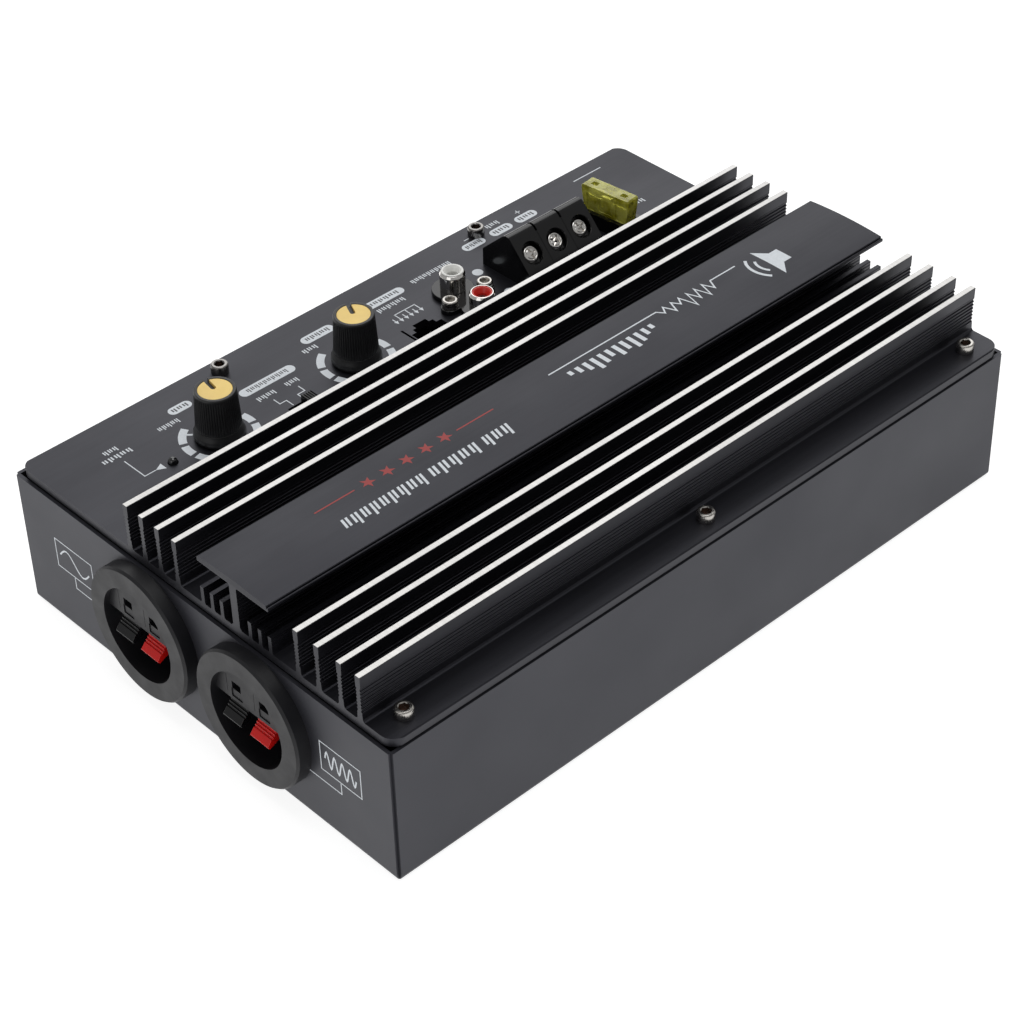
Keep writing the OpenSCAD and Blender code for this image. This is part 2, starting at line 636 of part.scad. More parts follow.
module terminal_cage_2() color([0.8, 0.68, 0.35]) terminal_cage(1);
module terminal_cage_3() color([0.8, 0.68, 0.35]) terminal_cage(2);

// Blade fuse in its holder, which is soldered a little askew
holder_top = 5;
fuse_seat = 1.8;
clip_x = 0.9;
clip_t = 0.7;
function fuse_point(x, y) = fuse_xy
    + [x * cos(fuse_turn) - y * sin(fuse_turn), x * sin(fuse_turn) + y * cos(fuse_turn)];
module at_fuse() {
    translate([fuse_xy[0], fuse_xy[1], top_z]) rotate([0, 0, fuse_turn]) children();
}
module fuse_holder() color([0.06, 0.06, 0.06]) at_fuse() difference() {
    union() {
        block([-4.5, -9.3, 0], [4.5, 9.3, holder_top]);
        block([-holder_below[0], -holder_below[1], board_top - top_z], [holder_below[0], holder_below[1], 1]);
    }
    block([-3, -8.8, fuse_seat], [3, 8.8, holder_top + 1]);
    for (s = [-1, 1]) block([-clip_x - clip_t / 2, s * blade_step - 3, board_top - top_z - 1],
        [clip_x + clip_t / 2, s * blade_step + 3, holder_top]);
}
module fuse_clips() color([0.8, 0.78, 0.7]) at_fuse()
    for (s = [-1, 1], t = [-1, 1]) translate([t * clip_x, s * blade_step, 0])
        block([-clip_t / 2, -3, board_top - top_z], [clip_t / 2, 3, fuse_seat - 0.6]);
foot_l = 8.2;
module fuse_body() color([0.85, 0.85, 0.1, 0.8]) at_fuse() difference() {
    along_x(fuse_size[0])
        polygon([[-foot_l, fuse_seat + 0.3], [foot_l, fuse_seat + 0.3], [fuse_size[1] / 2, fuse_top - 2],
            [fuse_size[1] / 2, fuse_top - 0.5], [fuse_size[1] / 2 - 0.5, fuse_top],
            [0.5 - fuse_size[1] / 2, fuse_top], [-fuse_size[1] / 2, fuse_top - 0.5],
            [-fuse_size[1] / 2, fuse_top - 2]]);
    for (s = [-1, 1]) block([-0.4, s * blade_step - 2.6, 0], [0.4, s * blade_step + 2.6, fuse_top - 4]);
}
module fuse_blades() color([0.8, 0.8, 0.8]) at_fuse()
    for (s = [-1, 1])
        block([-0.35, s * blade_step - 2.55, -5.5], [0.35, s * blade_step + 2.55, fuse_top - 4.2]);

// Speaker cup: a round flange, a barrel through the case wall and two spring levers
face_x = wall_x + 2.7;
barrel_x = wall_x - 19.5;
face_z = 1.5;
module at_cup(i) {
    translate([0, cup_y[i], cup_z]) children();
}
module disc_x(r, x0, x1) {
    rotate([0, 90, 0]) rod(r, x0, x1);
}
module cup(i) {
    at_cup(i) difference() {
        union() {
            disc_x(cup_d / 2, wall_x, front_x - 0.8);
            translate([front_x - 0.8, 0, 0]) rotate([0, 90, 0])
                cylinder(r1 = cup_d / 2, r2 = cup_d / 2 - 0.6, h = 0.8);
            disc_x(barrel_r, barrel_x, wall_x + 1);
            for (s = [-1, 1])
                block([wall_x - 4.2, s * barrel_r - 1, -4], [wall_x - sheet_t - 0.2, s * barrel_r + 1, 4]);
        }
        intersection() {
            disc_x(recess_d / 2, barrel_x + 2, front_x + 1);
            block([barrel_x, -40, -40], [front_x + 2, 40, face_z]);
        }
        intersection() {
            disc_x(recess_d / 2, face_x, front_x + 1);
            block([barrel_x, -40, -40], [front_x + 2, 40, 40]);
        }
        for (s = [-1, 1]) translate([0, s * lever_dy, 0]) {
            block([wall_x - 12, -1.9, 5.8], [front_x, 1.9, 8.4]);
            block([wall_x - 9, -lever_w / 2 - 0.35, -5], [face_x - 1.1, lever_w / 2 + 0.35, 5.2]);
            contact_tongue();
        }
        rotate([90, 0, 0]) translate([hinge[0], hinge[1], -11]) cylinder(r = hinge_r, h = 22);
    }
}
module contact_tongue() {
    block([barrel_x - 5, -1.5, 6.7], [wall_x - 9.5, 1.5, 7.3]);
}
module bass_cup() color([0.08, 0.08, 0.08]) cup(0);
module treble_cup() color([0.08, 0.08, 0.08]) cup(1);

module cup_pins() color([0.75, 0.75, 0.75])
    for (i = [0, 1]) at_cup(i) rotate([90, 0, 0]) translate([hinge[0], hinge[1], -10.8])
        cylinder(r = hinge_r, h = 21.6);

// Tinned tongues behind the wire holes, with lugs out of the barrel's back
module cup_contacts() color([0.8, 0.72, 0.5])
    for (i = [0, 1], s = [-1, 1]) at_cup(i) translate([0, s * lever_dy, 0]) contact_tongue();

lever_w = 7.7;
// Finger face of a lever, which slopes down and outwards: three ribs above a smooth pad
finger_top = [2.05, 0.95];
finger_dir = [0.627, -0.779];
rib_pitch = 0.95;
rib_d = 0.4;
pad = [2.85, 5.6];
function finger(u, v) = [finger_top[0] + finger_dir[0] * u - finger_dir[1] * v,
    finger_top[1] + finger_dir[1] * u + finger_dir[0] * v];
lever_section = concat([[1.15, 1.9], [1.35, 0.75]],
    [for (i = [0 : 2], p = [[0, -rib_d], [0.12, 0], [0.46, 0], [0.58, -rib_d]])
        finger(i * rib_pitch + p[0], p[1])],
    [finger(pad[0], -rib_d), finger(pad[0] + 0.12, 0), finger(pad[1] - 0.2, 0), finger(pad[1], -0.3),
     [4.75, -4.35], [1.6, -2.9], [0.2, -1.4], [-0.4, 0.6]],
    arc(hinge - [wall_x, 0], 1.8, 255, 45, 10));
module lever(i, s) {
    at_cup(i) translate([wall_x, s * lever_dy, 0]) difference() {
        along_y(-lever_w / 2, lever_w / 2) polygon(lever_section);
        rotate([90, 0, 0]) translate([hinge[0] - wall_x, hinge[1], -5]) cylinder(r = hinge_r + run, h = 10);
    }
}
module bass_black_lever() color([0.06, 0.06, 0.06]) lever(0, -1);
module bass_red_lever() color([0.8, 0.05, 0.05]) lever(0, 1);
module treble_black_lever() color([0.06, 0.06, 0.06]) lever(1, -1);
module treble_red_lever() color([0.8, 0.05, 0.05]) lever(1, 1);

// Round wire through hand-chosen points in a plane of constant y
lead_r = 1;
function ring_at(p, a, y, n) = [for (k = [0 : n - 1]) let (b = 360 * k / n)
    [p[0] + lead_r * cos(b) * sin(a), y + lead_r * sin(b), p[1] - lead_r * cos(b) * cos(a)]];
module lead(y, path) {
    n = 10;
    m = len(path);
    angles = [for (i = [0 : m - 1]) let (p = path[max(0, i - 1)], q = path[min(m - 1, i + 1)])
        atan2(q[1] - p[1], q[0] - p[0])];
    points = [for (i = [0 : m - 1]) each ring_at(path[i], angles[i], y, n)];
    sides = [for (i = [0 : m - 2], k = [0 : n - 1])
        [i * n + k, i * n + (k + 1) % n, (i + 1) * n + (k + 1) % n, (i + 1) * n + k]];
    ends = [[for (k = [n - 1 : -1 : 0]) k], [for (k = [0 : n - 1]) (m - 1) * n + k]];
    polyhedron(points, concat(sides, ends), convexity = 4);
}
lead_top = cup_z + 6.7 - lead_r;
lead_bend = concat([[barrel_x - 0.5, lead_top]], arc([barrel_x - 4, lead_top - 4], 4, 90, 180, 6),
    arc([barrel_x - 13, lead_top - 4], 5, 0, -180, 10), [[barrel_x - 18, board_z]]);
module speaker_leads() color([0.6, 0.1, 0.1])
    for (y = cup_y, s = [-1, 1]) lead(y + s * lever_dy, lead_bend);

bottom_case();
clinch_nuts();
heatsink_cover();
cover_cap_screws();
cover_edge_screws();
circuit_board();
board_standoffs();
board_screws();
power_transistors();
insulating_pads();
transistor_screws();
toroid_core();
toroid_winding();
toroid_clamp();
filter_capacitors();
power_relay();
output_chokes();
driver_chips();
solder_pins();
level_pot();
lpf_pot();
pot_nuts();
level_shaft();
level_knob();
level_knob_cap();
lpf_shaft();
lpf_knob();
lpf_knob_cap();
switch_body();
switch_slider();
remote_jack();
remote_jack_contacts();
power_led();
rca_base();
rca_shells();
rca_white_insert();
rca_red_insert();
rca_contacts();
rca_screws();
terminal_block();
terminal_contacts();
terminal_screw_1();
terminal_screw_2();
terminal_screw_3();
terminal_cage_1();
terminal_cage_2();
terminal_cage_3();
fuse_holder();
fuse_clips();
fuse_body();
fuse_blades();
bass_cup();
treble_cup();
cup_contacts();
cup_pins();
speaker_leads();
bass_black_lever();
bass_red_lever();
treble_black_lever();
treble_red_lever();
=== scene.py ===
import math

import bmesh
import bpy
from mathutils import Matrix, Vector


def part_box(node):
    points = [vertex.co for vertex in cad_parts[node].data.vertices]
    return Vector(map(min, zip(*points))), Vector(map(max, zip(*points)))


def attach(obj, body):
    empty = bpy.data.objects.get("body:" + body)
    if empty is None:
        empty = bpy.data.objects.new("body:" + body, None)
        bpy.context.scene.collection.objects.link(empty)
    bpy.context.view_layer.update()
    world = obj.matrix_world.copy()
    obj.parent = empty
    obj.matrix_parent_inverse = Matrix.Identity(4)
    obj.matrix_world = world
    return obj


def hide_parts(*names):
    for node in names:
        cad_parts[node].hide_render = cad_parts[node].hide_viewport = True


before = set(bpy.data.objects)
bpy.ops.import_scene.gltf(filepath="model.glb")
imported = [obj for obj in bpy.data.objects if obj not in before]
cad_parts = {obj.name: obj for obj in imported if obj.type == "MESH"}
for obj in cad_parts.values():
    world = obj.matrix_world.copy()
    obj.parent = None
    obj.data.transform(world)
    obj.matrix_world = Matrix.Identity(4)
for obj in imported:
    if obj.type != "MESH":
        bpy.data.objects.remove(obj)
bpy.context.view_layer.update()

MM = 0.001
ROOT = "amplifier"


# ---------------------------------------------------------------- places, from the frame, in millimetres

def corners(node):
    """Lowest and highest corner of a CAD node, in millimetres."""
    low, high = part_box(node)
    return low / MM, high / MM


def middle(node):
    low, high = corners(node)
    return (low + high) / 2


# Head of the cover's screws, and the control strip that they sit on
HEAD_R = 2.75
HEAD_H = 3.2
SOCKET_AF = 2.75
PANEL_Z = corners("cover_cap_screws")[1].z - HEAD_H
WALL_X = corners("bottom_case")[1].x
# Fins, and the ribs in their sides
FIN_TOP = PANEL_Z + 15.4
RIB_LOW = PANEL_Z + 2.93
RIB_PITCH = 1.232
RIBS = 7
# Label plate, which is slightly crowned
LABEL_Y = 19.2
LABEL_HALF = 15.1
LABEL_TOP = corners("heatsink_cover")[1].z
LABEL_CROWN = 0.7


# ---------------------------------------------------------------- mesh helpers

def link(name, mesh):
    obj = bpy.data.objects.new(name, mesh)
    bpy.context.scene.collection.objects.link(obj)
    return obj


def from_bmesh(name, bm):
    """A new object from a bmesh that is in millimetres."""
    bmesh.ops.recalc_face_normals(bm, faces=bm.faces)
    bm.transform(Matrix.Scale(MM, 4))
    mesh = bpy.data.meshes.new(name)
    bm.to_mesh(mesh)
    bm.free()
    return link(name, mesh)


def rounded(points, steps=4):
    """An outline in which a point (x, y, r) becomes an arc of radius r."""
    out = []
    n = len(points)
    for i, p in enumerate(points):
        if len(p) < 3 or p[2] <= 0:
            out.append((p[0], p[1]))
            continue
        here = Vector(p[:2])
        to_a = (Vector(points[i - 1][:2]) - here)
        to_b = (Vector(points[(i + 1) % n][:2]) - here)
        la, lb = to_a.length, to_b.length
        to_a.normalize()
        to_b.normalize()
        half = to_a.angle(to_b) / 2
        run = min(p[2] / math.tan(half), 0.49 * la, 0.49 * lb)
        radius = run * math.tan(half)
        centre = here + (to_a + to_b).normalized() * (radius / math.sin(half))
        start = here + to_a * run - centre
        turn = start.angle_signed(here + to_b * run - centre)
        for k in range(steps + 1):
            v = start.copy()
            v.rotate(Matrix.Rotation(-turn * k / steps, 2))
            out.append(tuple(centre + v))
    return out


def lathe(name, profile, seg=64, ripple=None, closed=False):
    """Revolves a profile of (radius, height) points about Z. ripple(angle, height) is added to the radius."""
    bm = bmesh.new()
    rings = []
    for r, z in profile:
        ring = []
        for k in range(seg):
            a = 2 * math.pi * k / seg
            rr = r + (ripple(a, z) if ripple else 0)
            ring.append(bm.verts.new((rr * math.cos(a), rr * math.sin(a), z)))
        rings.append(ring)
    pairs = list(zip(rings, rings[1:]))
    if closed:
        pairs.append((rings[-1], rings[0]))
    for low, high in pairs:
        for k in range(seg):
            j = (k + 1) % seg
            bm.faces.new((low[k], low[j], high[j], high[k]))
    if not closed:
        bm.faces.new(rings[0])
        bm.faces.new(rings[-1])
    bmesh.ops.remove_doubles(bm, verts=bm.verts, dist=1e-5)
    return from_bmesh(name, bm)


def prism(name, outline, low, high, axis="Z"):
    """Extrudes an outline. Along Z it is (x, y), along X it is (y, z), along Y it is (x, z)."""
    orders = {"Z": lambda u, v, w: (u, v, w), "X": lambda u, v, w: (w, u, v), "Y": lambda u, v, w: (u, w, v)}
    spot = orders[axis]
    bm = bmesh.new()
    base = bm.faces.new([bm.verts.new(spot(u, v, low)) for u, v in outline])
    top = bmesh.ops.extrude_face_region(bm, geom=[base])
    shift = Vector(spot(0, 0, high)) - Vector(spot(0, 0, low))
    raised = [v for v in top["geom"] if isinstance(v, bmesh.types.BMVert)]
    bmesh.ops.translate(bm, verts=raised, vec=shift)
    return from_bmesh(name, bm)


def block(name, low, high):
    outline = [(low[0], low[1]), (high[0], low[1]), (high[0], high[1]), (low[0], high[1])]
    return prism(name, outline, low[2], high[2])


def place(obj, matrix=None, at=(0, 0, 0)):
    """Moves an object's mesh by a matrix and then to a point in millimetres."""
    move = Matrix.Translation(Vector(at) * MM)
    obj.data.transform(move @ (matrix or Matrix.Identity(4)))
    return obj


def settle(obj):
    """Applies the modifiers."""
    graph = bpy.context.evaluated_depsgraph_get()
    mesh = bpy.data.meshes.new_from_object(obj.evaluated_get(graph))
    obj.modifiers.clear()
    obj.data = mesh
    return obj


def carve(obj, *cutters):
    for cutter in cutters:
        mod = obj.modifiers.new("carve", "BOOLEAN")
        mod.operation = "DIFFERENCE"
        mod.solver = "EXACT"
        mod.object = cutter
        settle(obj)
        bpy.data.objects.remove(cutter)
    return obj


def join(name, parts):
    """One object from several, as loose shells."""
    bm = bmesh.new()
    for part in parts:
        bm.from_mesh(part.data)
        bpy.data.objects.remove(part)
    mesh = bpy.data.meshes.new(name)
    bm.to_mesh(mesh)
    bm.free()
    return link(name, mesh)


def soften(obj, width=0.0, segments=2, angle=32):
    """Bevels the sharp edges by a width in millimetres and shades the rest smooth."""
    if width:
        mod = obj.modifiers.new("bevel", "BEVEL")
        mod.width = width * MM
        mod.segments = segments
        mod.limit_method = "ANGLE"
        mod.angle_limit = math.radians(angle)
        mod.use_clamp_overlap = True
        mod.miter_outer = "MITER_ARC"
        settle(obj)
    bm = bmesh.new()
    bm.from_mesh(obj.data)
    for face in bm.faces:
        face.smooth = True
    for edge in bm.edges:
        if len(edge.link_faces) == 2:
            edge.smooth = edge.calc_face_angle() < math.radians(angle)
    bm.to_mesh(obj.data)
    bm.free()
    return obj


def cad_copy(node, name, width=0.15, segments=2, angle=32):
    """A copy of a CAD node's mesh, with its flat faces merged and its edges rounded."""
    obj = link(name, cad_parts[node].data.copy())
    bm = bmesh.new()
    bm.from_mesh(obj.data)
    bmesh.ops.remove_doubles(bm, verts=bm.verts, dist=2e-6)
    bmesh.ops.dissolve_limit(bm, angle_limit=math.radians(1), verts=bm.verts, edges=bm.edges)
    bm.to_mesh(obj.data)
    bm.free()
    return soften(obj, width, segments, angle)


def piece(obj, body, slot, look, *nodes):
    """Gives a piece its material and its body, and hides the CAD nodes that it stands for; the slot is not
    used.
    """
    even = obj.modifiers.new("even", "WEIGHTED_NORMAL")
    even.keep_sharp = True
    even.weight = 100
    settle(obj)
    obj.data.materials.clear()
    obj.data.materials.append(look)
    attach(obj, body)
    if nodes:
        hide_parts(*nodes)
    return obj


# ---------------------------------------------------------------- materials

class Look:
    """A node material: a principled shader with helpers for procedural detail in object space."""

    def __init__(self, name, colour, rough, metal=0.0, specular=0.5):
        self.mat = bpy.data.materials.new(name)
        self.mat.use_nodes = True
        self.tree = self.mat.node_tree
        self.shader = self.tree.nodes["Principled BSDF"]
        self.colour = tuple(colour) + (1.0,)
        self.set("Base Color", self.colour)
        self.set("Roughness", rough)
        self.set("Metallic", metal)
        self.set("Specular IOR Level", specular)
        self.rough = rough
        self.coords = self.node("ShaderNodeTexCoord").outputs["Object"]
        self.bump = None

    def node(self, kind, **values):
        n = self.tree.nodes.new(kind)
        for key, value in values.items():
            setattr(n, key, value)
        return n

    def set(self, socket, value):
        self.shader.inputs[socket].default_value = value
        return self

    def wire(self, a, b):
        self.tree.links.new(a, b)

    def noise(self, scale, stretch=(1, 1, 1), detail=3.0, rough=0.55):
        mapping = self.node("ShaderNodeMapping")
        mapping.inputs["Scale"].default_value = stretch
        self.wire(self.coords, mapping.inputs["Vector"])
        tex = self.node("ShaderNodeTexNoise")
        tex.inputs["Scale"].default_value = scale
        tex.inputs["Detail"].default_value = detail
        tex.inputs["Roughness"].default_value = rough
        self.wire(mapping.outputs["Vector"], tex.inputs["Vector"])
        return tex.outputs["Fac"]

    def spread(self, fac, low, high, from_low=0.3, from_high=0.7):
        """Maps a factor to a range."""
        m = self.node("ShaderNodeMapRange")
        m.inputs["From Min"].default_value = from_low
        m.inputs["From Max"].default_value = from_high
        m.inputs["To Min"].default_value = low
        m.inputs["To Max"].default_value = high
        self.wire(fac, m.inputs["Value"])
        return m.outputs["Result"]

    def mix(self, fac, a, b):
        """Mixes two colours or sockets by a factor."""
        m = self.node("ShaderNodeMix", data_type="RGBA")
        self.wire(fac, m.inputs["Factor"])
        for value, index in ((a, 6), (b, 7)):
            if isinstance(value, bpy.types.NodeSocket):
                self.wire(value, m.inputs[index])
            else:
                m.inputs[index].default_value = tuple(value) + (1.0,) * (4 - len(value))
        return m.outputs[2]

    def math(self, operation, a, b=0.0):
        m = self.node("ShaderNodeMath", operation=operation)
        for value, index in ((a, 0), (b, 1)):
            if isinstance(value, bpy.types.NodeSocket):
                self.wire(value, m.inputs[index])
            else:
                m.inputs[index].default_value = value
        return m.outputs[0]

    def mottle(self, scale, amount, stretch=(1, 1, 1)):
        """Varies the colour a little, in patches."""
        dark = tuple(c * (1 - amount) for c in self.colour[:3])
        light = tuple(min(1, c * (1 + amount)) for c in self.colour[:3])
        out = self.mix(self.spread(self.noise(scale, stretch), 0, 1), dark, light)
        self.wire(out, self.shader.inputs["Base Color"])
        return self

    def vary_rough(self, scale, amount, stretch=(1, 1, 1)):
        low, high = max(0.02, self.rough - amount), min(1, self.rough + amount)
        self.wire(self.spread(self.noise(scale, stretch), low, high), self.shader.inputs["Roughness"])
        return self

    def grain(self, scale, height, stretch=(1, 1, 1), detail=3.0):
        return self.relief(self.noise(scale, stretch, detail), height)

    def relief(self, pattern, height):
        """Adds a bump whose height is in millimetres. Calls stack up."""
        b = self.node("ShaderNodeBump")
        b.inputs["Strength"].default_value = 1.0
        b.inputs["Distance"].default_value = height * MM
        self.wire(pattern, b.inputs["Height"])
        if self.bump:
            self.wire(self.bump, b.inputs["Normal"])
        self.bump = b.outputs["Normal"]
        self.wire(self.bump, self.shader.inputs["Normal"])
        return self


def anodised():
    """Black anodised extrusion with die lines along X; the fins' tops are machined bright."""
    k = Look("black_anodise", (0.010, 0.010, 0.012), 0.42, metal=0.0, specular=0.5)
    k.set("Specular Tint", (0.85, 0.86, 1.0, 1.0))
    axes = k.node("ShaderNodeSeparateXYZ")
    k.wire(k.coords, axes.inputs["Vector"])
    facing = k.node("ShaderNodeSeparateXYZ")
    k.wire(k.node("ShaderNodeNewGeometry").outputs["Normal"], facing.inputs["Vector"])
    above = k.math("GREATER_THAN", axes.outputs["Z"], (FIN_TOP - 0.05) * MM)
    below = k.math("LESS_THAN", axes.outputs["Z"], (FIN_TOP + 0.05) * MM)
    up = k.math("GREATER_THAN", facing.outputs["Z"], 0.5)
    top = k.math("MULTIPLY", k.math("MULTIPLY", above, below), up)
    lines = k.noise(900, (0.03, 1, 1), detail=4)
    black = k.mix(k.spread(lines, 0, 1), (0.0035, 0.0035, 0.0045), (0.008, 0.008, 0.010))
    cuts = k.noise(2500, (1, 0.05, 1), detail=2)
    bright = k.mix(k.spread(cuts, 0, 1), (0.58, 0.57, 0.55), (0.67, 0.66, 0.64))
    k.wire(k.mix(top, black, bright), k.shader.inputs["Base Color"])
    k.wire(top, k.shader.inputs["Metallic"])
    label = k.math("GREATER_THAN", axes.outputs["Z"], (LABEL_TOP - 2) * MM)
    patches = k.spread(k.noise(45, (0.4, 1, 1)), 0.36, 0.46)
    k.wire(k.math("ADD", patches, k.math("MULTIPLY", label, 0.07)), k.shader.inputs["Roughness"])
    k.grain(1400, 0.006, (0.04, 1, 1))
    k.grain(5000, 0.002)
    turns = k.math("MULTIPLY", k.math("SUBTRACT", axes.outputs["Z"], RIB_LOW * MM), 1 / (RIB_PITCH * MM))
    wave = k.math("COSINE", k.math("MULTIPLY", turns, 2 * math.pi))
    beside = k.math("GREATER_THAN", k.math("ABSOLUTE", facing.outputs["Y"]), 0.4)
    ribbed = k.math("MULTIPLY", k.math("GREATER_THAN", turns, -0.25), k.math("LESS_THAN", turns, RIBS + 0.25))
    k.relief(k.math("MULTIPLY", wave, k.math("MULTIPLY", beside, ribbed)), 0.11)
    return k.mat


def powder_coat():
    """Satin black paint on the folded case."""
    k = Look("powder_coat", (0.018, 0.018, 0.022), 0.46, specular=0.5)
    k.set("Specular Tint", (0.84, 0.86, 1.0, 1.0))
    k.mottle(30, 0.08)
    k.vary_rough(22, 0.05)
    k.grain(2600, 0.006)
    k.grain(420, 0.01)
    return k.mat


def moulded(name, colour, rough, texture=0.004, specular=0.5, scale=4200):
    """Moulded plastic with a fine surface and slight flow marks."""
    k = Look(name, colour, rough, specular=specular)
    k.mottle(90, 0.10)
    k.vary_rough(160, 0.06)
    k.grain(scale, texture)
    k.grain(260, texture * 2)
    return k.mat


def plated(name, colour, rough, wear=0.12):
    """Plated or bare metal with fine scratches and uneven polish."""
    k = Look(name, colour, rough, metal=1.0)
    k.mottle(700, wear)
    k.vary_rough(900, 0.08)
    k.grain(3000, 0.002, (1, 0.1, 1))
    return k.mat


def ink(name, colour):
    """Screen-printed ink, a little uneven."""
    k = Look(name, colour, 0.5, specular=0.4)
    k.mottle(1500, 0.05)
    k.grain(6000, 0.002)
    return k.mat


def smoky(name, colour, rough):
    """Dark glossy lens."""
    k = Look(name, colour, rough, specular=0.6)
    k.set("Coat Weight", 0.6)
    k.set("Coat Roughness", 0.04)
    k.mottle(300, 0.15)
    k.grain(2000, 0.001)
    return k.mat


def tinted():
    """Clear plastic of the fuse, tinted yellow green, wavy as a small moulding is; its colour carries painted
    reflections, dark and bright patches standing in for the light inside it.
    """
    k = Look("fuse_tint", (0.80, 0.86, 0.10), 0.06, specular=0.55)
    k.set("Transmission Weight", 0.60)
    k.set("IOR", 1.49)
    # Painted reflections: random dark olive and bright yellow patches in the base colour stand in for light
    # refracted and reflected inside the clear body.
    patches = k.spread(k.noise(230, detail=3), 0, 1, 0.38, 0.60)
    k.wire(k.mix(patches, (0.50, 0.47, 0.03), (1.0, 0.98, 0.22)), k.shader.inputs["Base Color"])
    k.grain(300, 0.35)
    k.grain(800, 0.10)
    return k.mat


LOOKS = {
    "heatsink": anodised(),
    "case": powder_coat(),
    "knob": moulded("knob_black", (0.012, 0.012, 0.013), 0.42, 0.003),
    "yellow": moulded("knob_yellow", (0.94, 0.66, 0.20), 0.45, 0.003),
    "cup": moulded("cup_black", (0.006, 0.006, 0.008), 0.50, 0.006, specular=0.42, scale=2600),
    "black": moulded("moulded_black", (0.0025, 0.0025, 0.003), 0.17, 0.001),
    "gloss_black": moulded("gloss_black", (0.004, 0.004, 0.005), 0.10, 0.001),
    "lever_black": moulded("lever_black", (0.004, 0.004, 0.005), 0.16, 0.001),
    "lever_red": moulded("lever_red", (0.62, 0.008, 0.006), 0.18, 0.001),
    "white": moulded("rca_white", (0.80, 0.80, 0.77), 0.24, 0.002),
    "red": moulded("rca_red", (0.60, 0.030, 0.022), 0.28, 0.002),
    "screw": plated("screw_steel", (0.50, 0.48, 0.45), 0.20, 0.08),
    "dark_screw": plated("screw_dark", (0.27, 0.26, 0.25), 0.18, 0.08),
    "nickel": plated("nickel", (0.80, 0.78, 0.75), 0.07, 0.04),
    "zinc": plated("zinc", (0.70, 0.70, 0.68), 0.30),
    "tin": plated("tin", (0.75, 0.75, 0.73), 0.30),
    "brass": plated("brass", (0.78, 0.58, 0.26), 0.28),
    "copper": plated("copper", (0.72, 0.34, 0.14), 0.35),
    "gold": plated("gold_flash", (0.88, 0.66, 0.28), 0.22),
    "rust": plated("socket_floor", (0.07, 0.04, 0.03), 0.5, 0.3),
    "led": smoky("led_lens", (0.006, 0.006, 0.007), 0.08),
    "fuse": tinted(),
    "laminate": moulded("solder_mask", (0.02, 0.13, 0.05), 0.35, 0.01, scale=900),
    "epoxy": moulded("epoxy_black", (0.02, 0.02, 0.02), 0.5, 0.01),
    "pad": moulded("thermal_pad", (0.55, 0.57, 0.60), 0.7, 0.01),
    "ferrite": moulded("ferrite", (0.12, 0.10, 0.07), 0.7, 0.02),
    "sleeve": moulded("capacitor_sleeve", (0.02, 0.03, 0.10), 0.25, 0.002),
    "relay": moulded("relay_case", (0.03, 0.07, 0.24), 0.3, 0.002),
    "wire": moulded("wire_red", (0.42, 0.03, 0.02), 0.45, 0.004),
    "ink_white": ink("ink_white", (0.72, 0.76, 0.80)),
    "ink_dark": ink("ink_dark", (0.06, 0.06, 0.07)),
    "ink_red": ink("ink_red", (0.34, 0.030, 0.028)),
}

CAD_LOOKS = {
    "bottom_case": "case", "clinch_nuts": "zinc", "heatsink_cover": "heatsink", "circuit_board": "laminate",
    "board_standoffs": "brass", "board_screws": "zinc", "power_transistors": "epoxy",
    "insulating_pads": "pad", "transistor_screws": "zinc", "toroid_core": "ferrite",
    "toroid_winding": "copper", "toroid_clamp": "zinc", "filter_capacitors": "sleeve",
    "power_relay": "relay", "output_chokes": "copper", "driver_chips": "epoxy", "solder_pins": "tin",
    "level_pot": "zinc", "lpf_pot": "zinc", "pot_nuts": "zinc", "level_shaft": "zinc", "lpf_shaft": "zinc",
    "switch_body": "zinc", "remote_jack": "black", "remote_jack_contacts": "gold", "rca_contacts": "tin",
    "terminal_contacts": "tin", "terminal_cage_1": "brass", "terminal_cage_2": "brass",
    "terminal_cage_3": "brass", "fuse_holder": "black", "fuse_clips": "tin", "fuse_blades": "tin",
    "cup_contacts": "tin", "cup_pins": "zinc", "speaker_leads": "wire",
}


def dress_cad_nodes():
    for node, look in CAD_LOOKS.items():
        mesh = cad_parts[node].data
        mesh.materials.clear()
        mesh.materials.append(LOOKS[look])


# ---------------------------------------------------------------- printed legends

def on_panel(u, v):
    return u, v, PANEL_Z


def on_label(u, v):
    s = (v - LABEL_Y) / LABEL_HALF
    return u, v, LABEL_TOP - LABEL_CROWN * s * s


def on_end_wall(u, v):
    return WALL_X, u, v


def disc(x, y, r, n=32):
    return [(x + r * math.cos(2 * math.pi * k / n), y + r * math.sin(2 * math.pi * k / n)) for k in range(n)]


def pill(x0, x1, y0, y1):
    r = (y1 - y0) / 2 - 0.01
    return rounded([(x0, y0, r), (x1, y0, r), (x1, y1, r), (x0, y1, r)], 8)


def sector(c, r0, r1, a0, a1, n=10):
    """Block of a dial ring between two radii and two angles in degrees."""
    angles = [math.radians(a0 + (a1 - a0) * k / n) for k in range(n + 1)]
    outer = [(c[0] + r1 * math.cos(a), c[1] + r1 * math.sin(a)) for a in angles]
    inner = [(c[0] + r0 * math.cos(a), c[1] + r0 * math.sin(a)) for a in reversed(angles)]
    return outer + inner


def star(x, y, r):
    return [(x + (r if k % 2 == 0 else r * 0.40) * math.sin(math.pi * k / 5),
             y + (r if k % 2 == 0 else r * 0.40) * math.cos(math.pi * k / 5)) for k in range(10)]


